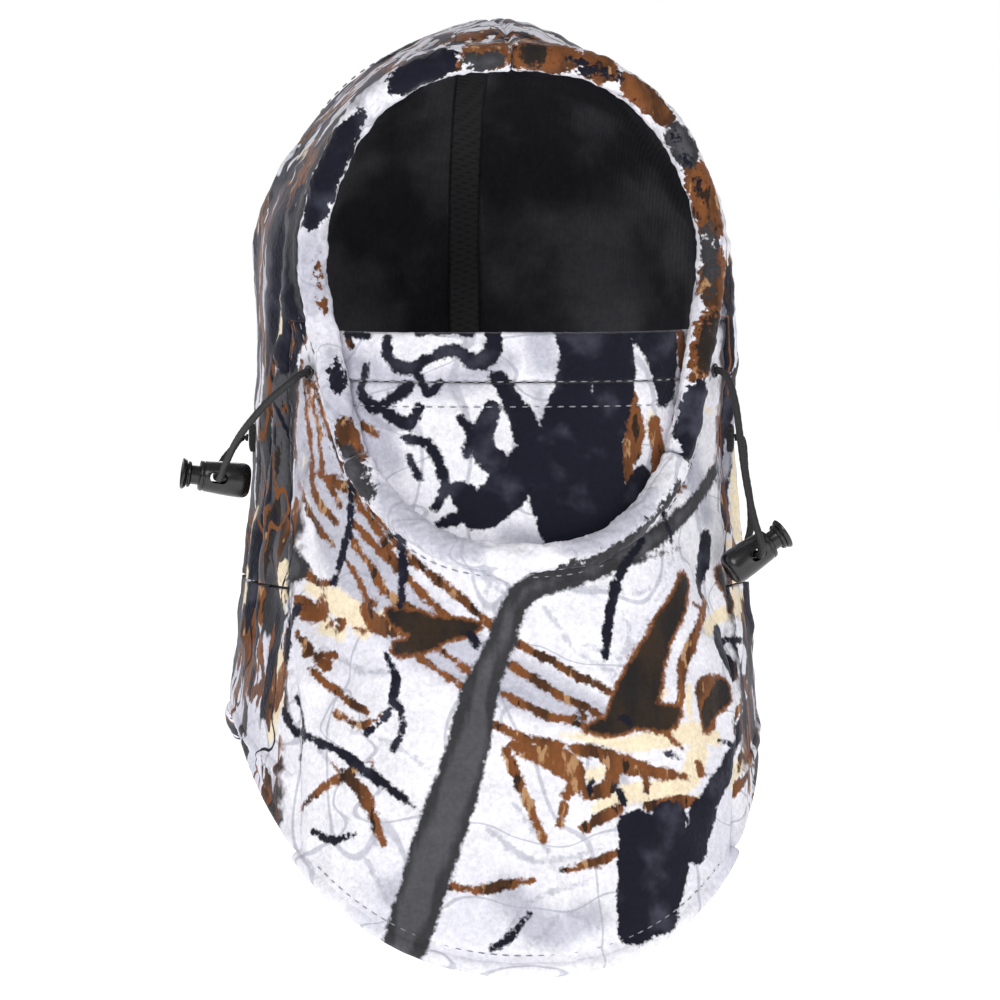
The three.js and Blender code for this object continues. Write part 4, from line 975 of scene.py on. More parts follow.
def print_group():
    """The printed colours: each ink is where its stored depth, roughened by the pile, is above zero."""
    if "Branch Print" in bpy.data.node_groups:
        return bpy.data.node_groups["Branch Print"]
    fabric = bpy.context.scene.hood_fabric
    colours = [
        ("Ground", fabric.ground), ("Shade", fabric.shade), ("Twig", fabric.twig), ("Cream", fabric.cream),
        ("Brown", fabric.brown), ("Umber", fabric.umber), ("Bark", fabric.bark), ("Dark", fabric.dark),
    ]
    inputs = [(title, "NodeSocketColor", colour4(value)) for title, value in colours]
    inputs.append(("Wobble", "NodeSocketFloat", 1.0))
    tree, given, result = new_group("Branch Print", inputs, [("Color", "NodeSocketColor")])
    fine, coarse = noise(tree, 620, 3), noise(tree, 190, 2)
    wobble = maths(tree, "ADD", maths(tree, "MULTIPLY", maths(tree, "SUBTRACT", fine, 0.5), 3.2),
                   maths(tree, "MULTIPLY", maths(tree, "SUBTRACT", coarse, 0.5), 3.4))
    wobble = maths(tree, "MULTIPLY", wobble, given.outputs["Wobble"])

    def ink(name, low, high, strength=1.0):
        depth = put(tree, "ShaderNodeAttribute", attribute_name="ink_" + name).outputs["Fac"]
        mask = smooth_step(tree, maths(tree, "ADD", depth, wobble), low, high)
        return maths(tree, "MULTIPLY", mask, strength) if strength < 1 else mask

    colour = given.outputs["Ground"]
    colour = mix(tree, smooth_step(tree, noise(tree, 14, 2), 0.48, 0.72), colour, (0.66, 0.66, 0.76, 1))
    colour = mix(tree, ink("shade", -4, 4), colour, given.outputs["Shade"])
    for line in FAINT_TWIGS:
        faint = maths(tree, "MULTIPLY", level_line(tree, *line), 0.6)
        colour = mix(tree, faint, colour, given.outputs["Twig"])
    colour = mix(tree, ink("twig", -0.9, 0.8, 0.6), colour, given.outputs["Twig"])
    colour = mix(tree, ink("cream", -1.4, 1.2), colour, given.outputs["Cream"])
    streak = noise(tree, 46, 3, stretch=(2.2, 2.2, 0.5))
    brown = mix(tree, smooth_step(tree, streak, 0.42, 0.66), given.outputs["Brown"],
                (0.06, 0.026, 0.012, 1))
    flecks = noise(tree, 130, 4, stretch=(1.5, 1.5, 0.6))
    brown = mix(tree, smooth_step(tree, flecks, 0.6, 0.66), brown, (0.42, 0.24, 0.12, 1))
    brown = mix(tree, smooth_step(tree, flecks, 0.42, 0.36), brown, (0.03, 0.016, 0.01, 1))
    colour = mix(tree, ink("brown", -1.0, 0.3), colour, brown)
    colour = mix(tree, ink("umber", -2.2, -0.6), colour, given.outputs["Brown"])
    umber = mix(tree, smooth_step(tree, streak, 0.35, 0.7), given.outputs["Umber"],
                (0.016, 0.014, 0.014, 1))
    colour = mix(tree, ink("umber", -0.9, 1.0), colour, umber)
    core = put(tree, "ShaderNodeAttribute", attribute_name="ink_bark").outputs["Fac"]
    core = maths(tree, "ADD", core, maths(tree, "MULTIPLY", maths(tree, "SUBTRACT", streak, 0.5), 14))
    bark = mix(tree, smooth_step(tree, core, 1.8, 5.4), given.outputs["Bark"], (0.08, 0.08, 0.09, 1))
    colour = mix(tree, ink("bark", -0.9, 0.9), colour, bark)
    dark = mix(tree, smooth_step(tree, noise(tree, 60, 3), 0.5, 0.75), given.outputs["Dark"],
               (0.05, 0.052, 0.075, 1))
    colour = mix(tree, ink("dark", -1.1, 0.2), colour, dark)
    place = put(tree, "ShaderNodeSeparateXYZ", {0: put(tree, "ShaderNodeTexCoord").outputs["Object"]})
    aside = maths(tree, "MULTIPLY", maths(tree, "ABSOLUTE", place.outputs["X"], 0), 1.2)
    aside = maths(tree, "MAXIMUM", maths(tree, "SUBTRACT", aside, 0.095), 0)
    behind = maths(tree, "ADD", place.outputs["Y"], aside)
    behind = maths(tree, "ADD", behind, maths(tree, "MULTIPLY", coarse, 0.02))
    behind = smooth_step(tree, behind, -0.062, -0.05)
    tints = {"shade": given.outputs["Shade"], "cream": given.outputs["Cream"], "brown": brown,
             "umber": umber,
             "dark": dark, "bark": bark}
    for scale, detail, stretch, low, high, name in LITTER:
        leaf = smooth_step(tree, noise(tree, scale, detail, stretch=stretch), low, high)
        colour = mix(tree, maths(tree, "MULTIPLY", leaf, behind), colour, tints[name])
    for line, title in zip(LITTER_TWIGS, ("Dark", "Brown")):
        twig = maths(tree, "MULTIPLY", level_line(tree, *line), behind)
        colour = mix(tree, twig, colour, given.outputs[title])
    tree.links.new(colour, result.inputs["Color"])
    return tree


def pile_group():
    """The short brushed pile: its height, and a painted shade that darkens the colour where the pile is low and
    lightens it on the high tufts.
    """
    if "Brushed Pile" in bpy.data.node_groups:
        return bpy.data.node_groups["Brushed Pile"]
    tree, given, result = new_group(
        "Brushed Pile",
        [("Tufts per Metre", "NodeSocketFloat", 520.0)],
        [("Height", "NodeSocketFloat"), ("Tuft Shade", "NodeSocketFloat")],
    )
    place = put(tree, "ShaderNodeTexCoord").outputs["Object"]
    tuft = put(tree, "ShaderNodeTexNoise", {"Vector": place, "Scale": given.outputs[0], "Detail": 4.0,
                                            "Roughness": 0.62, "Distortion": 0.4}).outputs["Fac"]
    nap = noise(tree, 85, 2, place)
    height = maths(tree, "ADD", maths(tree, "MULTIPLY", tuft, 0.75), maths(tree, "MULTIPLY", nap, 0.5))
    # Painted shade: the noise that raises the tufts also lightens the colour on them and darkens it between
    # them.
    tone = maths(tree, "ADD", maths(tree, "MULTIPLY", maths(tree, "SUBTRACT", tuft, 0.5), 0.7),
                 maths(tree, "MULTIPLY", maths(tree, "SUBTRACT", nap, 0.5), 0.35))
    tree.links.new(height, result.inputs["Height"])
    tree.links.new(maths(tree, "ADD", tone, 1.0), result.inputs["Tuft Shade"])
    return tree


def new_material(name):
    material = bpy.data.materials.new(name)
    material.use_nodes = True
    return material, material.node_tree, material.node_tree.nodes["Principled BSDF"]


def add_bump(tree, shader, height, strength, distance):
    bump = put(tree, "ShaderNodeBump", {"Height": height, "Strength": strength, "Distance": distance})
    tree.links.new(bump.outputs[0], shader.inputs["Normal"])


def printed_fleece(name="Printed Fleece", tufts=520.0, wobble=0.95):
    """Brushed fleece with the print, for the shell, the hems and the mask."""
    if name in bpy.data.materials:
        return bpy.data.materials[name]
    material, tree, shader = new_material(name)
    printed = put(tree, "ShaderNodeGroup", node_tree=print_group())
    pile = put(tree, "ShaderNodeGroup", node_tree=pile_group())
    pile.inputs[0].default_value = tufts
    printed.inputs["Wobble"].default_value = wobble
    # The print's colour is scaled by the pile's painted shade, darker between the tufts and lighter on them.
    tone = put(tree, "ShaderNodeVectorMath", {0: printed.outputs["Color"], "Scale": pile.outputs["Tuft Shade"]},
               operation="SCALE").outputs[0]
    tree.links.new(tone, shader.inputs["Base Color"])
    add_bump(tree, shader, pile.outputs["Height"], 0.55, 0.0012)
    rough = smooth_step(tree, pile.outputs["Height"], 1.4, 0.2)
    rough = maths(tree, "ADD", maths(tree, "MULTIPLY", rough, 0.12), 0.84)
    tree.links.new(rough, shader.inputs["Roughness"])
    shader.inputs["Specular IOR Level"].default_value = 0.15
    shader.inputs["Sheen Weight"].default_value = 0.25
    shader.inputs["Sheen Roughness"].default_value = 0.4
    shader.inputs["Sheen Tint"].default_value = (0.9, 0.9, 1.0, 1)
    return material


def knit_back():
    """The inside of the fleece: a dark grey fine knit with a little of the pile."""
    if "Knit Back" in bpy.data.materials:
        return bpy.data.materials["Knit Back"]
    material, tree, shader = new_material("Knit Back")
    place = put(tree, "ShaderNodeTexCoord").outputs["Object"]
    ribs = put(tree, "ShaderNodeTexWave",
               {"Vector": place, "Scale": 260.0, "Distortion": 2.5, "Detail": 2.0},
               bands_direction="X").outputs["Fac"]
    pile = put(tree, "ShaderNodeGroup", node_tree=pile_group())
    height = maths(tree, "ADD", maths(tree, "MULTIPLY", ribs, 0.5), pile.outputs["Height"])
    shades = mix(tree, smooth_step(tree, noise(tree, 24, 3), 0.4, 0.65), (0.035, 0.035, 0.042, 1),
                 (0.1, 0.1, 0.112, 1))
    # The knit's colour is scaled by the pile's painted shade, darker between the tufts and lighter on them.
    tone = put(tree, "ShaderNodeVectorMath", {0: shades, "Scale": pile.outputs["Tuft Shade"]},
               operation="SCALE").outputs[0]
    tree.links.new(tone, shader.inputs["Base Color"])
    add_bump(tree, shader, height, 0.4, 0.0008)
    shader.inputs["Roughness"].default_value = 0.92
    shader.inputs["Specular IOR Level"].default_value = 0.15
    return material


def braid(name, colour, strands=900.0, roughness=0.62):
    """Woven or braided black trim: a fine diagonal weave, with a painted highlight on its raised strands."""
    if name in bpy.data.materials:
        return bpy.data.materials[name]
    material, tree, shader = new_material(name)
    place = put(tree, "ShaderNodeTexCoord").outputs["Object"]
    weave = None
    for turn in (0.6, -0.6):
        turned = put(tree, "ShaderNodeMapping",
                     {"Vector": place, "Rotation": (turn, turn * 0.5, turn)}).outputs[0]
        bands = put(tree, "ShaderNodeTexWave", {"Vector": turned, "Scale": strands / 6, "Distortion": 0.6},
                    bands_direction="Z").outputs["Fac"]
        weave = bands if weave is None else maths(tree, "MAXIMUM", weave, bands)
    fuzz = noise(tree, 1500, 2, place)
    height = maths(tree, "ADD", weave, maths(tree, "MULTIPLY", fuzz, 0.4))
    # Painted highlight: the raised strands of the weave are painted lighter than the trim's own colour.
    light = tuple(min(1.0, c * 2.6 + 0.01) for c in colour)
    tree.links.new(mix(tree, maths(tree, "MULTIPLY", weave, 0.6), colour4(colour), colour4(light)),
                   shader.inputs["Base Color"])
    add_bump(tree, shader, height, 0.5, 0.0003)
    shader.inputs["Roughness"].default_value = roughness
    return material


def moulded_plastic():
    """Black moulded plastic with a faint eggshell grain and rubbed edges."""
    if "Moulded Plastic" in bpy.data.materials:
        return bpy.data.materials["Moulded Plastic"]
    material, tree, shader = new_material("Moulded Plastic")
    grain = noise(tree, 1400, 3)
    rubs = smooth_step(tree, noise(tree, 160, 4), 0.55, 0.75)
    tone = bpy.context.scene.hood_trim.plastic
    tree.links.new(mix(tree, rubs, colour4(tone), (0.02, 0.02, 0.022, 1)), shader.inputs["Base Color"])
    rough = maths(tree, "ADD", maths(tree, "MULTIPLY", rubs, 0.12), maths(tree, "MULTIPLY", grain, 0.16))
    tree.links.new(maths(tree, "ADD", rough, 0.18), shader.inputs["Roughness"])
    add_bump(tree, shader, grain, 0.12, 0.0001)
    shader.inputs["Specular IOR Level"].default_value = 0.6
    return material


def spring_steel():
    if "Spring Steel" in bpy.data.materials:
        return bpy.data.materials["Spring Steel"]
    material, tree, shader = new_material("Spring Steel")
    drawn = noise(tree, 900, 2, stretch=(0.3, 1, 1))
    tree.links.new(mix(tree, drawn, (0.45, 0.46, 0.48, 1), (0.62, 0.63, 0.65, 1)),
                   shader.inputs["Base Color"])
    tree.links.new(maths(tree, "ADD", maths(tree, "MULTIPLY", drawn, 0.2), 0.2), shader.inputs["Roughness"])
    shader.inputs["Metallic"].default_value = 1.0
    return material


def satin():
    """The plain woven label."""
    if "Label Satin" in bpy.data.materials:
        return bpy.data.materials["Label Satin"]
    material, tree, shader = new_material("Label Satin")
    threads = noise(tree, 700, 2, stretch=(0.25, 1, 2.4))
    tree.links.new(mix(tree, threads, (0.7, 0.7, 0.68, 1), (0.86, 0.86, 0.84, 1)),
                   shader.inputs["Base Color"])
    add_bump(tree, shader, threads, 0.2, 0.0002)
    tree.links.new(maths(tree, "ADD", maths(tree, "MULTIPLY", threads, 0.2), 0.36),
                   shader.inputs["Roughness"])
    return material


# ---- Cord routes and lock frames ---------------------------------------------------------------------
LOCKS = {
    "left": {"hole": (-109, -20, -174), "button": (-0.992, 0, 0.125), "side": -1},
    "right": {"hole": (92.8, -84, -201), "button": (0.83, 0.15, 0.54), "side": 1},
}
ANCHORS = {"left": (math.radians(-92), -160.0), "right": (math.radians(68), -158.0)}
ANCHOR_DEPTH, ANCHOR_WIDTH, ANCHOR_HEIGHT = 2.6, 5.0, 11.0
LOOP_ROUTES = {
    "left": [(-85.5, -80, -134.5), (-92.5, -76.5, -140.5), (-99.3, -68, -149), (-104.2, -56, -157.5),
             (-107.2, -44, -166), (-108.7, -35, -172), (-109, -28.5, -174), (-109, -20, -174),
             (-109, -12.5, -174),
             (-108.2, -8, -172.3), (-105.5, -3.5, -168), (-101.5, 2.5, -164)],
    "right": [(83, -80, -134), (85.3, -84, -142.5), (86.5, -87.5, -153.5), (87.6, -91, -165.5),
              (89.2, -94.5, -177.5), (91.6, -97.5, -189), (94.2, -97.5, -197.5), (94.5, -92.6, -201),
              (92.8, -84, -201), (91.2, -75.8, -201), (91.4, -71, -199), (93.6, -66.5, -192),
              (94, -61.5, -182),
              (92.8, -57, -171)],
}


def anchor_place(side):
    angle, z = ANCHORS[side]
    here = surface_point(angle, z)
    ahead = surface_point(angle + 0.01, z) - here
    return here, unit(np.array([ahead[1], -ahead[0], 0.0]))


def loop_line(side):
    """The middle line of one elastic loop, from its eyelet through the lock to its tab."""
    sign = LOCKS[side]["side"]
    exit_point = surface_at(sign * EYELET_X, EYELET_Z)
    out = outwards(sign * EYELET_X, EYELET_Z)
    here, anchor_out = anchor_place(side)
    face = ANCHOR_DEPTH + 2 * GAP + 0.15
    route = [exit_point - 2.2 * out, exit_point + 3 * out, *LOOP_ROUTES[side],
             here + anchor_out * (face + 2.5), here + anchor_out * face]
    return centripetal(route, 8), exit_point


def lock_matrix(side):
    """From a lock's own frame, where the button points along X and the cord passes along Y."""
    x = Vector(LOCKS[side]["button"]).normalized()
    z = (Vector((0, 0, 1)) - x * x.z).normalized()
    y = z.cross(x)
    turn = Matrix((x, y, z)).transposed().to_4x4()
    return Matrix.Translation(Vector(LOCKS[side]["hole"]) * MM) @ turn


def lock_shade(side):
    """The line along a lock's barrel, with the radius that the fabric stays out of."""
    place = lock_matrix(side)
    ends = [np.array(place @ Vector((x * MM, 0, 0))) / MM for x in (-12.7, 14.2)]
    return np.array([[*ends[0], 7.5], [*ends[1], 7.5]])


LOCK_SHADE = {side: lock_shade(side) for side in LOCKS}


def tube(line, normals, radii, sides=16, squash=1.0):
    """Points and faces of a closed tube along a line. normals give each station's outward way."""
    run = unit(np.gradient(line, axis=0))
    normals = unit(normals - (normals * run).sum(1)[:, None] * run)
    across = np.cross(run, normals)
    turn = np.linspace(0, 2 * math.pi, sides, endpoint=False)
    radii = np.broadcast_to(np.asarray(radii, float), (len(line), sides))
    ring = line[:, None] + radii[..., None] * (
        squash * np.cos(turn)[None, :, None] * normals[:, None] + np.sin(turn)[None, :, None] * across[:,
                                                                                                       None]
    )
    points = np.vstack([ring.reshape(-1, 3), line[:1], line[-1:]])
    faces = grid_faces(len(line), sides, wrap=True)[:, ::-1].tolist()
    first, last, end = len(points) - 2, len(points) - 1, (len(line) - 1) * sides
    for k in range(sides):
        after = (k + 1) % sides
        faces.append([first, after, k])
        faces.append([last, end + k, end + after])
    return points, faces


def outward_faces(obj):
    """Turns a closed mesh's faces outwards."""
    mesh = bmesh.new()
    mesh.from_mesh(obj.data)
    bmesh.ops.recalc_face_normals(mesh, faces=mesh.faces)
    mesh.to_mesh(obj.data)
    mesh.free()


def area_of(obj):
    return sum(face.area for face in obj.data.polygons)


# ---- Settings ----------------------------------------------------------------------------------------
def colour_setting(name, description, default):
    return bpy.props.FloatVectorProperty(name=name, description=description, subtype="COLOR",
                                         default=default)


def distance_setting(name, description, default):
    return bpy.props.FloatProperty(name=name, description=description, default=default, unit="LENGTH",
                                   subtype="DISTANCE")


class HoodFabricSettings(bpy.types.PropertyGroup):
    cell: distance_setting("Cell", "Mesh spacing on the panels", 0.0015)
    thickness: distance_setting("Thickness", "Thickness of the fleece", 0.003)
    ground: colour_setting("Ground", "Colour of the bare fleece", (0.82, 0.81, 0.87))
    shade: colour_setting("Shade", "Pale grey patches", (0.5, 0.5, 0.58))
    twig: colour_setting("Twig", "Faint twigs", (0.36, 0.37, 0.44))
    cream: colour_setting("Cream", "Cream leaves", (0.86, 0.74, 0.54))
    brown: colour_setting("Brown", "Brown leaves and twigs", (0.2, 0.072, 0.024))
    umber: colour_setting("Umber", "Dark brown leaves", (0.034, 0.022, 0.014))
    bark: colour_setting("Bark", "Charcoal branches", (0.038, 0.038, 0.042))
    dark: colour_setting("Dark", "Navy black patches", (0.0085, 0.009, 0.018))


class HoodTrimSettings(bpy.types.PropertyGroup):
    cord_radius: distance_setting("Cord Radius", "Radius of the elastic cord", CORD_RADIUS * MM)
    cord: colour_setting("Cord", "Colour of the cord", (0.006, 0.006, 0.007))
    plastic: colour_setting("Plastic", "Colour of the cord locks", (0.0055, 0.0055, 0.006))


class HoodStageSettings(bpy.types.PropertyGroup):
    floor: colour_setting("Floor", "Colour of the floor", (0.92, 0.92, 0.92))
    drop: distance_setting("Drop", "How far the floor lies below the bib", 0.08)
    key_power: bpy.props.FloatProperty(name="Key Light", description="Power of the key light", default=13.0,
                                       unit="POWER")


# ---- Operators ---------------------------------------------------------------------------------------
class HOOD_OT_stage(bpy.types.Operator):
    """Adds the camera, the soft lights and the pale floor"""

    bl_idname = "hood.stage"
    bl_label = "Stage"

    def execute(self, context):
        scene, settings = context.scene, context.scene.hood_stage
        camera = bpy.data.objects.new("Camera", bpy.data.cameras.new("Camera"))
        scene.collection.objects.link(camera)
        back = Vector((math.sin(AZIMUTH) * math.cos(ELEVATION), -math.cos(AZIMUTH) * math.cos(ELEVATION),
                       math.sin(ELEVATION)))
        right = Vector((math.cos(AZIMUTH), math.sin(AZIMUTH), 0))
        aim = Vector((0, AIM_Y * MM, 0)) + right * AIM_X * MM + back.cross(right) * AIM_Z * MM
        camera.location = aim + back * DISTANCE
        camera.rotation_euler = back.to_track_quat("Z", "Y").to_euler()
        camera.data.lens = camera.data.sensor_width * DISTANCE / VIEW_SIDE
        camera.data.clip_end = 50
        scene.camera = camera
        scene.view_settings.view_transform = "Standard"

        world = bpy.data.worlds.new("Studio")
        world.use_nodes = True
        scene.world = world
        tree = world.node_tree
        tree.nodes.clear()
        seen = put(tree, "ShaderNodeLightPath").outputs["Is Camera Ray"]
        light = put(tree, "ShaderNodeBackground", {"Color": (1, 1, 1, 1), "Strength": 0.36})
        plain = put(tree, "ShaderNodeBackground", {"Color": (1, 1, 1, 1), "Strength": 1.0})
        both = put(tree, "ShaderNodeMixShader", {0: seen, 1: light.outputs[0], 2: plain.outputs[0]})
        tree.links.new(both.outputs[0], put(tree, "ShaderNodeOutputWorld").inputs["Surface"])

        centre = (CAD_BOX[0] + CAD_BOX[1]) / 2
        for name, place, size, power in (
            ("Key Light", (-0.7, -1.5, 0.9), 0.9, settings.key_power),
            ("Fill Light", (1.1, -1.2, 0.3), 1.0, settings.key_power * 0.34),
            ("Back Light", (0.3, 1.6, 0.8), 0.9, settings.key_power * 0.6),
        ):
            lamp = bpy.data.lights.new(name, "AREA")
            lamp.energy, lamp.size = power, size
            obj = bpy.data.objects.new(name, lamp)
            obj.location = centre + Vector(place)
            obj.rotation_euler = Vector(place).to_track_quat("Z", "Y").to_euler()
            scene.collection.objects.link(obj)

        bpy.ops.object.select_all(action="DESELECT")
        bpy.ops.mesh.primitive_circle_add(vertices=96, radius=6, fill_type="NGON",
                                          location=(0, 0, CAD_BOX[0].z - settings.drop))
        floor = context.object
        floor.name = "Floor"
        bpy.ops.object.transform_apply(location=True)
        material, tree, shader = new_material("Pale Floor")
        tone = mix(tree, noise(tree, 3, 2), colour4(settings.floor), (0.95, 0.95, 0.95, 1))
        tree.links.new(tone, shader.inputs["Base Color"])
        shader.inputs["Roughness"].default_value = 0.9
        shader.inputs["Emission Color"].default_value = (1, 1, 1, 1)
        shader.inputs["Emission Strength"].default_value = 0.8
        floor.data.materials.append(material)
        return {"FINISHED"}


class HOOD_OT_cord_loops(bpy.types.Operator):
    """Adds the two elastic loops, which run through the holes of their cord locks"""

    bl_idname = "hood.cord_loops"
    bl_label = "Cord Loops"

    def execute(self, context):
        trim = context.scene.hood_trim
        for side, way, low, high in (("left", (-0.63, 0, -0.77), 0.181, 0.196),
                                     ("right", (0, 0, -1), 0.162, 0.19)):
            line, exit_point = loop_line(side)
            line = evenly(line, 150)
            normals = unit(line - np.array([0, CENTRE_Y, line[:, 2].mean()]))
            plait = 1 + 0.035 * np.sin(np.arange(150)[:,
                                                      None] * 1.9 + np.arange(14)[None] * 2 * math.pi / 7)
            points, faces = tube(line, normals, trim.cord_radius / MM * plait, 14)
            obj = mesh_object(side + "_elastic_loop", points, faces,
                              [braid("Elastic Cord", trim.cord, 2400)])
            outward_faces(obj)
            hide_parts(side + "_cord_loop")
            way = Vector(way)
            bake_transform(obj)
            length = float(np.linalg.norm(np.diff(line, axis=0), axis=1).sum() * MM)
            print(f"{side} loop is {length:.4f} m long")
        return {"FINISHED"}


SEAM_GAP = 0.05
KEPT_FIELDS = {
    "side": (OPENING_FIELD, FRONT_FIELD, NAPE_FIELD),
    "bib": (OPENING_FIELD, FRONT_FIELD, BOTTOM_FIELD),
    "flap": (NAPE_FIELD, FRONT_FIELD, BOTTOM_FIELD),
}
HALF_GIRTH = 325  # about half the way round the widest section
PANELS = {
    # name: (first share, last share, top, bottom, replaced node, key of the kept fields, flat size, area)
    "hood_left_side": (-1.0, -0.0, 2.99, -214, "hood_left_panel", "side", (0.3, 0.36), 0.062),
    "hood_right_side": (0.0, 1.0, 2.99, -214, "hood_right_panel", "side", (0.3, 0.36), 0.062),
    "bib_front": (-0.62, 0.62, -108, -360, "front_bib", "bib", (0.26, 0.26), 0.046),
    "neck_back_flap": (0.255, 1.745, -213, -324, "neck_flap", "flap", (0.44, 0.11), 0.037),
}


class HOOD_OT_shell(bpy.types.Operator):
    """Adds the four printed fleece panels of the hood"""

    bl_idname = "hood.shell"
    bl_label = "Shell Panels"

    def execute(self, context):
        fabric = context.scene.hood_fabric
        strokes = print_strokes()
        cell = fabric.cell / MM
        for name, (first, last, top, bottom, node, kept, flat, area) in PANELS.items():
            heights = even_heights(cell, top, bottom)
            columns = int(abs(last - first) * HALF_GIRTH / cell)
            data, faces = shell_grid(np.linspace(first, last, columns), heights)
            sign = 1 if kept == "bib" else -1
            data[:, FRONT_FIELD] = sign * data[:, FRONT_FIELD] - SEAM_GAP
            if kept == "flap":
                data[:, NAPE_FIELD] = -data[:, NAPE_FIELD] - SEAM_GAP
            for field in KEPT_FIELDS[kept]:
                data, faces = clip(data, faces, field)
            data[:, FRONT_FIELD] = np.abs(data[:, FRONT_FIELD])
            points = drape(data)
            obj = mesh_object(name, points, faces, [printed_fleece(), knit_back()])
            write_inks(obj, data[:, POSITION], strokes)
            mesh = bmesh.new()
            mesh.from_mesh(obj.data)
            bmesh.ops.remove_doubles(mesh, verts=mesh.verts, dist=0.25 * MM)
            bmesh.ops.dissolve_degenerate(mesh, edges=mesh.edges, dist=0.05 * MM)
            mesh.to_mesh(obj.data)
            mesh.free()
            shell_area = area_of(obj)
            highest = max(v.co.z for v in obj.data.vertices)
            apply_modifier(obj, "SOLIDIFY", thickness=fabric.thickness, offset=-1, material_offset=1,
                           material_offset_rim=0)
            # The thickening leaves a spike where the two halves meet at the crown.
            for vertex in obj.data.vertices:
                if vertex.co.z > highest + 0.1 * MM:
                    vertex.co.z = highest - 0.5 * fabric.thickness
            obj.data.shade_smooth()
            print(f"{name}: {len(obj.data.polygons)} faces, area {shell_area:.4f} m2")
            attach(obj, "hood")
            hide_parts(node)
        return {"FINISHED"}


class HOOD_OT_hems(bpy.types.Operator):
    """Adds the rolled hem round the face and the narrow hems of the bib and the neck flap"""

    bl_idname = "hood.hems"
    bl_label = "Hems"

    def execute(self, context):
        patches = {ink: [] for ink in INKS}
        for ink, first, last, half, sideways in HEM_PATCHES:
            line = hem_line(first, last, 9, inset=-2.5)
            run = unit(np.gradient(line, axis=0))
            line = line + np.cross(run, outwards(line[:, 0], line[:, 2])) * -sideways
            width = 1.1 * half * np.array([0.3, 0.8, 1.1, 0.9, 1.05, 1.15, 0.9, 0.7, 0.3]) + 2.6
            patches[ink].append(np.concatenate([line, width[:, None]], 1))
        runs = {"face_hem_right": (0, JAW), "face_hem_left": (0, -JAW), "chin_hem": (JAW, 1 - JAW)}
        for node, (first, last) in runs.items():
            trim = 0.0008 * np.sign(last - first)
            count, sides = 300, 36
            line = hem_line(first + trim, last - trim, count)
            normals = outwards(line[:, 0], line[:, 2])
            station, turn = np.meshgrid(np.arange(count) * 0.9,
                                        np.linspace(0, 2 * math.pi, sides, endpoint=False),
                                        indexing="ij")
            waves = np.stack([station * 1.0, 14 * np.cos(turn), 14 * np.sin(turn)], -1).reshape(-1, 3)
            radii = HEM_RADIUS + 0.5 * ripple(waves, 16, 21).reshape(count, sides)
            radii = radii + 0.3 * ripple(waves, 6, 22).reshape(count, sides)
            radii *= 1 + 0.05 * np.cos(turn)
            radii[:3] *= np.array([0.86, 0.95, 0.99])[:, None]
            radii[-3:] *= np.array([0.99, 0.95, 0.86])[:, None]
            points, faces = tube(line, normals, radii, sides)
            obj = mesh_object(node + "_roll", points, faces,
                              [printed_fleece("Printed Fleece Edge", 520.0, 2.1)])
            outward_faces(obj)
            write_inks(obj, points, patches)
            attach(obj, "hood")
            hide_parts(node)
        strokes = print_strokes()
        share = (CHEEK_SEAM_X - GAP) / BIB_HALF_WIDTH
        seam_angle = math.asin(share ** (SECTION_POWER / 2))
        for node, first, last, tip, count in (
            ("bib_hem", -seam_angle, seam_angle, BIB_TIP_Z, 260),
            ("flap_hem", seam_angle + 0.03, 2 * math.pi - seam_angle - 0.03, FLAP_TIP_Z, 420),
        ):
            angle = np.linspace(first, last, 900)
            z = edge_height(np.abs(np.sin(angle)) ** (2 / SECTION_POWER), tip) + BOTTOM_HEM_RADIUS
            line = evenly(surface_point(angle, z, FLEECE / 2), count)
            centre = np.array([0, CENTRE_Y, 0])
            normals = unit((line - centre) * (1, 1, 0))
            station, turn = np.meshgrid(np.arange(count) * 1.2,
                                        np.linspace(0, 2 * math.pi, 24, endpoint=False),
                                        indexing="ij")
            waves = np.stack([station, 10 * np.cos(turn), 10 * np.sin(turn)], -1).reshape(-1, 3)
            radii = BOTTOM_HEM_RADIUS + 0.22 * ripple(waves, 14, 23).reshape(count, 24)
            points, faces = tube(line, normals, radii, 24)
            obj = mesh_object(node + "_fold", points, faces, [printed_fleece()])
            outward_faces(obj)
            write_inks(obj, points, strokes)
            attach(obj, "hood")
            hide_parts(node)
        return {"FINISHED"}


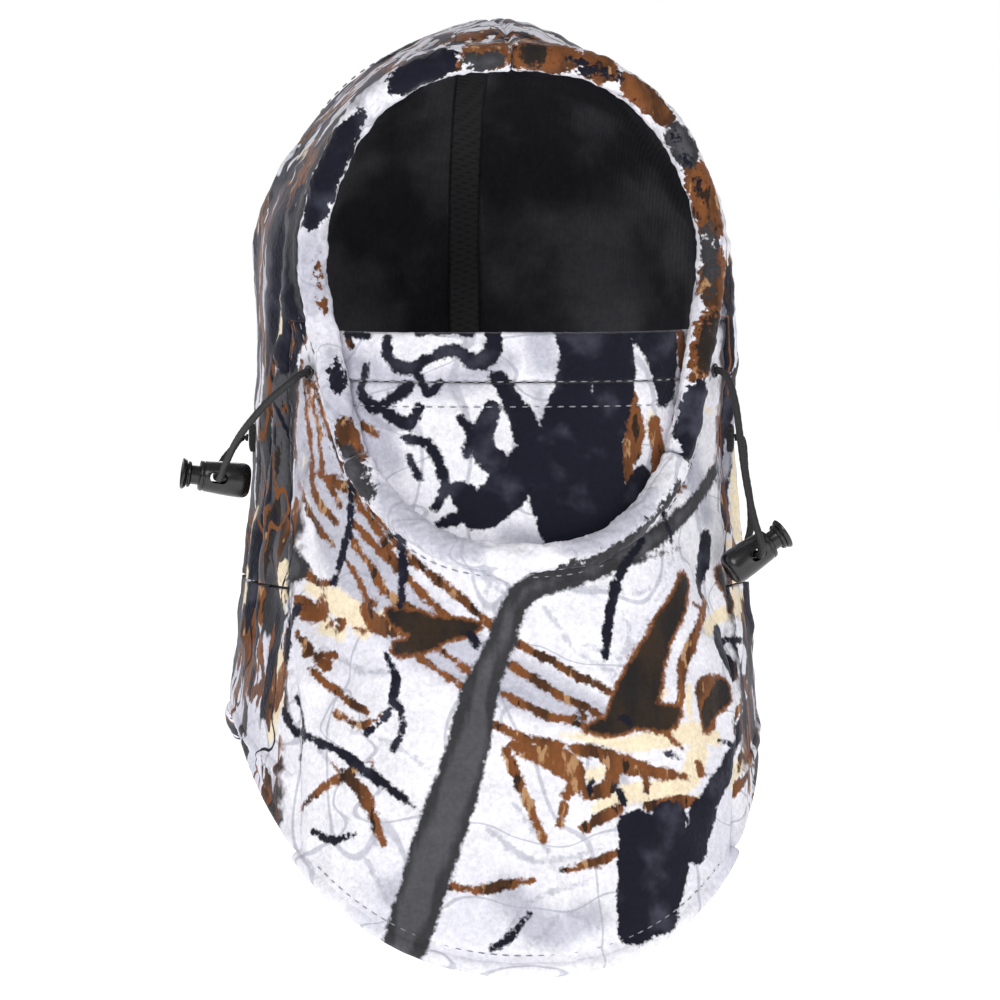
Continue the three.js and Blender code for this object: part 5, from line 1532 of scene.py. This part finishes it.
class HOOD_OT_mask(bpy.types.Operator):
    """Adds the mask: its panel, and the folded hem that holds the elastic"""

    bl_idname = "hood.mask"
    bl_label = "Face Mask"

    def execute(self, context):
        strokes = {ink: [stroke(line, lambda x, z: on_front(x, z, MASK_INSET)) for line in lines]
                   for ink, lines in MASK_PRINT.items()}
        seam_z = MASK_TOP_Z - MASK_HEM_HEIGHT
        for name, node, top, bottom, inset, thick, sizes in (
            ("mask_cloth", "mask_panel", seam_z - 0.2, -226, MASK_INSET, MASK_FLEECE,
             ((0.17, 0.1), 0.0155)),
            ("mask_hem_fold", "mask_top_hem", MASK_TOP_Z, seam_z + 0.2, MASK_INSET, 4.5,
             ((0.17, 0.02), 0.0034)),
        ):
            x = np.linspace(-MASK_HALF_WIDTH, MASK_HALF_WIDTH, 130)
            z = np.linspace(top, bottom, max(int((top - bottom) / 1.1), 14))
            grid_x, grid_z = np.meshgrid(x, z)
            if node == "mask_panel":
                down = np.clip((-grid_z - 200) / 26, 0, 1)
                grid_x = grid_x * (1 - 0.22 * down**1.6 - 0.1 * down**8)
            base = surface_at(grid_x, grid_z, inset)
            normal = outwards(grid_x, grid_z)
            flat_points = base.reshape(-1, 3)
            rise = 0.55 * ripple(flat_points, 34, 31) + 0.25 * ripple(flat_points * (0.35, 1, 2.2), 22, 32)
            rise += 0.1 * ripple(flat_points, 3.2, 33)
            line_z = flat_points[:, 2]
            seam_dip = -0.9 * np.exp(-(((line_z - seam_z) / 1.1) ** 2))
            rise += seam_dip - 0.8 * np.exp(-(((line_z - MASK_STITCH_Z) / 1.1) ** 2))
            if node == "mask_top_hem":
                rise += 0.5 * np.sin(flat_points[:, 0] * 0.9) * ripple(flat_points, 30, 34) + 0.5
                curl = np.clip((MASK_TOP_Z - line_z) / 2.5, 0, 1)
                rise -= 1.6 * (1 - np.sqrt(1 - (1 - curl) ** 2))
            rise = np.clip(rise, -1.6, 0.55)
            points = flat_points + normal.reshape(-1, 3) * rise[:, None]
            obj = mesh_object(name, points, grid_faces(*grid_x.shape).tolist(),
                              [printed_fleece("Printed Mask Fleece", 640.0), knit_back()])
            write_inks(obj, flat_points, strokes)
            apply_modifier(obj, "SOLIDIFY", thickness=thick * MM, offset=-1, material_offset=1,
                           material_offset_rim=0)
            obj.data.shade_smooth()
            print(f"{name}: {len(obj.data.polygons)} faces, area {area_of(obj) / 2:.4f} m2")
            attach(obj, "mask")
            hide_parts(node)
        return {"FINISHED"}


class HOOD_OT_inside(bpy.types.Operator):
    """Adds the seam tape and the label inside, and finishes the hidden cord, elastic and springs"""

    bl_idname = "hood.inside"
    bl_label = "Inside Trims"

    def execute(self, context):
        trim = context.scene.hood_trim
        tape_inset, label_inset = FLEECE + GAP, FLEECE + 2 * GAP + 1
        z = even_heights(2.0, -4, -211)
        rows = surface_point(np.full(len(z), math.pi), z, tape_inset)
        front_z = even_heights(2.0, -4, -14)
        front = surface_point(np.zeros(len(front_z)), front_z, tape_inset)[::-1]
        crown = np.linspace(front[-1], rows[0], 40)[1:-1]
        crown[:, 2] = np.minimum(FLEECE - tape_inset - 0.15, crown[:, 2])
        line = evenly(np.vstack([front, crown, rows]), 220)
        edge = np.linspace(-6, 6, 13)
        points = line[:, None] + edge[None, :, None] * np.array([1.0, 0, 0])
        grid = points.reshape(-1, 3)
        over_crown = grid[:, 2] > -95
        grid[over_crown, 2] -= 0.012 * grid[over_crown, 0] * grid[over_crown, 0]
        obj = mesh_object("crown_tape", grid, grid_faces(220, 13).tolist(),
                          [braid("Seam Tape", (0.012, 0.012, 0.014))])
        outward_faces(obj)
        apply_modifier(obj, "SOLIDIFY", thickness=0.8 * MM, offset=-1)
        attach(obj, "hood")
        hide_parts("crown_seam_tape")

        x, height = np.meshgrid(np.linspace(-14.5, 14.5, 40), np.linspace(-188.4, -209.6, 30))
        place = back_at(x, height, label_inset).reshape(-1, 3)
        curl = np.clip((-height.reshape(-1) - 192) / 18, 0, 1)
        place[:, 1] -= 0.5 + 0.9 * curl * (1 + 0.4 * np.sin(place[:, 0] * 0.3))
        obj = mesh_object("inside_label", place, grid_faces(30, 40).tolist(), [satin()])
        apply_modifier(obj, "SOLIDIFY", thickness=0.5 * MM, offset=0)
        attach(obj, "hood")
        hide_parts("care_label")

        finishes = {
            "drawcord": braid("Elastic Cord", trim.cord, 2400),
            "mask_elastic": braid("Woven Elastic", (0.5, 0.5, 0.48), 1200),
            "left_lock_spring": spring_steel(),
            "right_lock_spring": spring_steel(),
        }
        for node, material in finishes.items():
            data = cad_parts[node].data
            data.materials.clear()
            data.materials.append(material)
        return {"FINISHED"}


def turned_solid(name, profile, sides=40):
    """A solid turned about Z: a filled circle, extruded and scaled through (height, radius) stations."""
    bpy.ops.object.select_all(action="DESELECT")
    height, radius = profile[0]
    bpy.ops.mesh.primitive_circle_add(vertices=sides, radius=radius * MM, fill_type="NGON",
                                      location=(0, 0, height * MM))
    obj = bpy.context.object
    obj.name = name
    bpy.ops.object.transform_apply(location=True)
    bpy.ops.object.mode_set(mode="EDIT")
    bpy.ops.mesh.select_mode(type="FACE")
    bpy.ops.mesh.select_all(action="SELECT")
    for next_height, next_radius in profile[1:]:
        bpy.ops.mesh.extrude_region_move(TRANSFORM_OT_translate={"value": (0, 0,
                                                                           (next_height - height) * MM)})
        share = next_radius / radius
        bpy.ops.transform.resize(value=(share, share, 1), center_override=(0, 0, next_height * MM))
        height, radius = next_height, next_radius
    bpy.ops.mesh.select_all(action="SELECT")
    bpy.ops.mesh.normals_make_consistent(inside=False)
    bpy.ops.object.mode_set(mode="OBJECT")
    return obj


def slot_cutter(low, high, radius):
    """A bar with round ends along Y, for cutting a cord hole."""
    bpy.ops.object.select_all(action="DESELECT")
    bpy.ops.mesh.primitive_cylinder_add(vertices=32, radius=radius * MM, depth=0.03,
                                        rotation=(math.pi / 2, 0, 0))
    obj = bpy.context.object
    bpy.ops.object.transform_apply(location=True, rotation=True)
    for vertex in obj.data.vertices:
        vertex.co.x += ((high - radius) if vertex.co.x > 1e-6 else (low + radius)) * MM
    return obj


def cut_and_finish(obj, cutter, matrix, material, edge=0.3):
    """Cuts the cord hole, rounds the edges and puts the piece in its place."""
    turn = Matrix.Rotation(math.pi / 2, 4, "Y")
    obj.data.transform(turn)
    if cutter:
        apply_modifier(obj, "BOOLEAN", operation="DIFFERENCE", object=cutter, solver="EXACT")
        bpy.data.objects.remove(cutter)
    apply_modifier(obj, "BEVEL", width=edge * MM, segments=3, limit_method="ANGLE",
                   angle_limit=math.radians(38),
                   harden_normals=False)
    activate(obj)
    bpy.ops.object.shade_smooth_by_angle(angle=math.radians(40))
    obj.data.transform(matrix)
    obj.data.materials.clear()
    obj.data.materials.append(material)


class HOOD_OT_cord_locks(bpy.types.Operator):
    """Adds the barrel and the button of each cord lock"""

    bl_idname = "hood.cord_locks"
    bl_label = "Cord Locks"

    def execute(self, context):
        # Stations of (distance along the lock, radius).
        barrel_profile = [(-12.7, 3.4), (-12.5, 4.6), (-12.0, 5.6), (-11.3, 6.25), (-10.3, 6.65), (-9, 6.8),
                          (-4.7, 6.72), (0, 6.4), (3, 6.15), (5.2, 5.98), (5.3, 5.72), (5.8, 5.7),
                          (5.9, 5.96),
                          (6.9, 5.9), (7.3, 5.5), (7.3, 4.1), (-11.2, 4.1)]
        button_profile = [(-4.4, 3.1), (-4.0, 3.7), (0, 3.8), (7.4, 3.8), (10.6, 3.8), (10.7, 4.7),
                          (11.3, 5.2),
                          (11.7, 5.15), (11.9, 4.5), (12.2, 4.5), (12.4, 5.3), (13.3, 6.0), (13.9, 6.1),
                          (14.2, 5.7),
                          (14.1, 4.9), (13.6, 4.5), (13.4, 3.0), (13.5, 1.2)]
        for side in LOCKS:
            matrix = lock_matrix(side)
            for part, profile, cut, edge in (
                ("barrel", barrel_profile, (-3.4, 3.4, 2.1), 0.35),
                ("plunger", button_profile, (-1.7, 4.9, 1.7), 0.12),
            ):
                obj = turned_solid(f"{side}_lock_{'body' if part == 'barrel' else 'button'}", profile)
                cut_and_finish(obj, slot_cutter(*cut), matrix, moulded_plastic(), edge)
                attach(obj, side + ("_lock" if part == "barrel" else "_button"))
                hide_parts(f"{side}_lock_{part}")
        return {"FINISHED"}


class HOOD_OT_cord_ends(bpy.types.Operator):
    """Adds the eyelets where the loops leave the fabric and the tabs where they are sewn on"""

    bl_idname = "hood.cord_ends"
    bl_label = "Eyelets and Tabs"

    def execute(self, context):
        for side, lock in LOCKS.items():
            here = surface_at(lock["side"] * EYELET_X, EYELET_Z)
            out = outwards(lock["side"] * EYELET_X, EYELET_Z)
            turn = Vector((0, 0, 1)).rotation_difference(Vector(out)).to_matrix().to_4x4()
            bpy.ops.object.select_all(action="DESELECT")
            bpy.ops.mesh.primitive_torus_add(major_segments=40, minor_segments=14, major_radius=2.35 * MM,
                                             minor_radius=0.5 * MM)
            obj = context.object
            obj.name = side + "_cord_ring"
            obj.data.transform(Matrix.Translation(Vector(here + out * 0.65) * MM) @ turn)
            activate(obj)
            bpy.ops.object.shade_smooth()
            obj.data.materials.append(moulded_plastic())
            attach(obj, "hood")
            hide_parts(side + "_cord_eyelet")

            here, out = anchor_place(side)
            bpy.ops.object.select_all(action="DESELECT")
            bpy.ops.mesh.primitive_cube_add(size=1)
            obj = context.object
            obj.name = side + "_cord_tab"
            bpy.ops.transform.resize(value=(ANCHOR_WIDTH * MM, ANCHOR_HEIGHT * MM, ANCHOR_DEPTH * MM))
            bpy.ops.object.transform_apply(scale=True)
            bpy.ops.object.mode_set(mode="EDIT")
            bpy.ops.mesh.select_all(action="SELECT")
            bpy.ops.mesh.subdivide(number_cuts=5)
            bpy.ops.object.mode_set(mode="OBJECT")
            for vertex in obj.data.vertices:
                end = abs(vertex.co.y) / (ANCHOR_HEIGHT / 2 * MM)
                vertex.co.z *= 1 - 0.28 * end**3 - 0.12 * math.cos(vertex.co.y / MM * 1.1)
                vertex.co.x *= 1 - 0.12 * end**4
            apply_modifier(obj, "BEVEL", width=0.5 * MM, segments=2, limit_method="ANGLE")
            apply_modifier(obj, "SUBSURF", levels=1, render_levels=1)
            x_way = Vector((out[1], -out[0], 0)).normalized()
            z_way = Vector(out)
            turn = Matrix((x_way, z_way.cross(x_way), z_way)).transposed().to_4x4()
            middle = Vector(here + out * (GAP + 0.15 + ANCHOR_DEPTH / 2)) * MM
            obj.data.transform(Matrix.Translation(middle) @ turn)
            obj.data.shade_smooth()
            obj.data.materials.append(braid("Webbing Tab", (0.008, 0.008, 0.009), 1300, 0.8))
            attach(obj, "hood")
            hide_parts(side + "_cord_anchor")
        return {"FINISHED"}


THREAD_RADIUS, STITCH_STRETCH, STITCH_PITCH, STITCH_FROM_HEM = 0.34, 4.4, 4.4, 7.2


class HOOD_OT_stitches(bpy.types.Operator):
    """Adds the thread of the seams that show: round the face hem, on the mask and along the lower hems"""

    bl_idname = "hood.stitches"
    bl_label = "Stitches"

    def execute(self, context):
        bpy.ops.object.select_all(action="DESELECT")
        bpy.ops.mesh.primitive_uv_sphere_add(segments=6, ring_count=4, radius=THREAD_RADIUS * MM)
        pattern = context.object
        bpy.ops.transform.resize(value=(STITCH_STRETCH, 1, 1))
        bpy.ops.object.transform_apply(scale=True)
        shape = np.array([v.co for v in pattern.data.vertices]) / MM
        faces = [list(face.vertices) for face in pattern.data.polygons]
        bpy.data.objects.remove(pattern)
        around = np.stack([-opening_run[:, 1], opening_run[:, 0]], 1)
        ring = hem_outline + around * STITCH_FROM_HEM
        ring = np.vstack([ring, ring[:1]])
        lines = {
            "face_hem_thread": (surface_at(ring[:, 0], ring[:, 1], 0.75), "hood"),
            "mask_seam_thread": (surface_at(np.linspace(-73, 73, 200), MASK_TOP_Z - MASK_HEM_HEIGHT,
                                            MASK_INSET + 0.35), "mask"),
            "mask_lower_thread": (surface_at(np.linspace(-72, 72, 200), MASK_STITCH_Z, MASK_INSET + 0.35),
                                  "mask"),
        }
        for name, tip, first, last in (("bib_thread", BIB_TIP_Z, -0.8, 0.8),
                                       ("flap_thread", FLAP_TIP_Z, 1.75, 4.53)):
            angle = np.linspace(first, last, 600)
            z = edge_height(np.abs(np.sin(angle)) ** (2 / SECTION_POWER), tip) + BOTTOM_HEM_RADIUS + 5.6
            lines[name] = (surface_point(angle, z, 0.5), "hood")
        for name, (line, body) in lines.items():
            length = np.linalg.norm(np.diff(line, axis=0), axis=1).sum()
            spots = evenly(line, int(length / STITCH_PITCH))
            run = unit(np.gradient(spots, axis=0))
            out = unit((spots - np.array([0, CENTRE_Y, 0])) * (1, 1, 0.001))
            across = unit(np.cross(out, run))
            out = np.cross(run, across)
            turn = np.stack([run, across, out], 1)
            points = (shape @ turn + spots[:, None]).reshape(-1, 3)
            every = [[i + k * len(shape) for i in face] for k in range(len(spots)) for face in faces]
            obj = mesh_object(name, points, every, [braid("Sewing Thread", (0.16, 0.16, 0.18), 2600, 0.7)])
            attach(obj, body)
        return {"FINISHED"}


class HOOD_PT_panel(bpy.types.Panel):
    """Lists the steps that build the hood"""

    bl_idname = "HOOD_PT_panel"
    bl_label = "Fleece Hood"
    bl_space_type = "VIEW_3D"
    bl_region_type = "UI"
    bl_category = "Hood"

    def draw(self, context):
        for operator in OPERATORS:
            self.layout.operator(operator.bl_idname)
        for name, group in SETTINGS.items():
            for prop in group.__annotations__:
                self.layout.prop(getattr(context.scene, name), prop)


OPERATORS = (HOOD_OT_stage, HOOD_OT_cord_loops, HOOD_OT_shell, HOOD_OT_hems, HOOD_OT_mask, HOOD_OT_inside,
             HOOD_OT_cord_locks, HOOD_OT_cord_ends, HOOD_OT_stitches)
SETTINGS = {"hood_fabric": HoodFabricSettings, "hood_trim": HoodTrimSettings,
            "hood_stage": HoodStageSettings}
CLASSES = (*SETTINGS.values(), *OPERATORS, HOOD_PT_panel)


def register():
    for kind in CLASSES:
        bpy.utils.register_class(kind)
    for name, group in SETTINGS.items():
        setattr(bpy.types.Scene, name, bpy.props.PointerProperty(type=group))


def unregister():
    for name in SETTINGS:
        delattr(bpy.types.Scene, name)
    for kind in reversed(CLASSES):
        bpy.utils.unregister_class(kind)


def main():
    register()
    for operator in OPERATORS:
        group, name = operator.bl_idname.split(".")
        getattr(getattr(bpy.ops, group), name)()


if __name__ == "__main__":
    main()
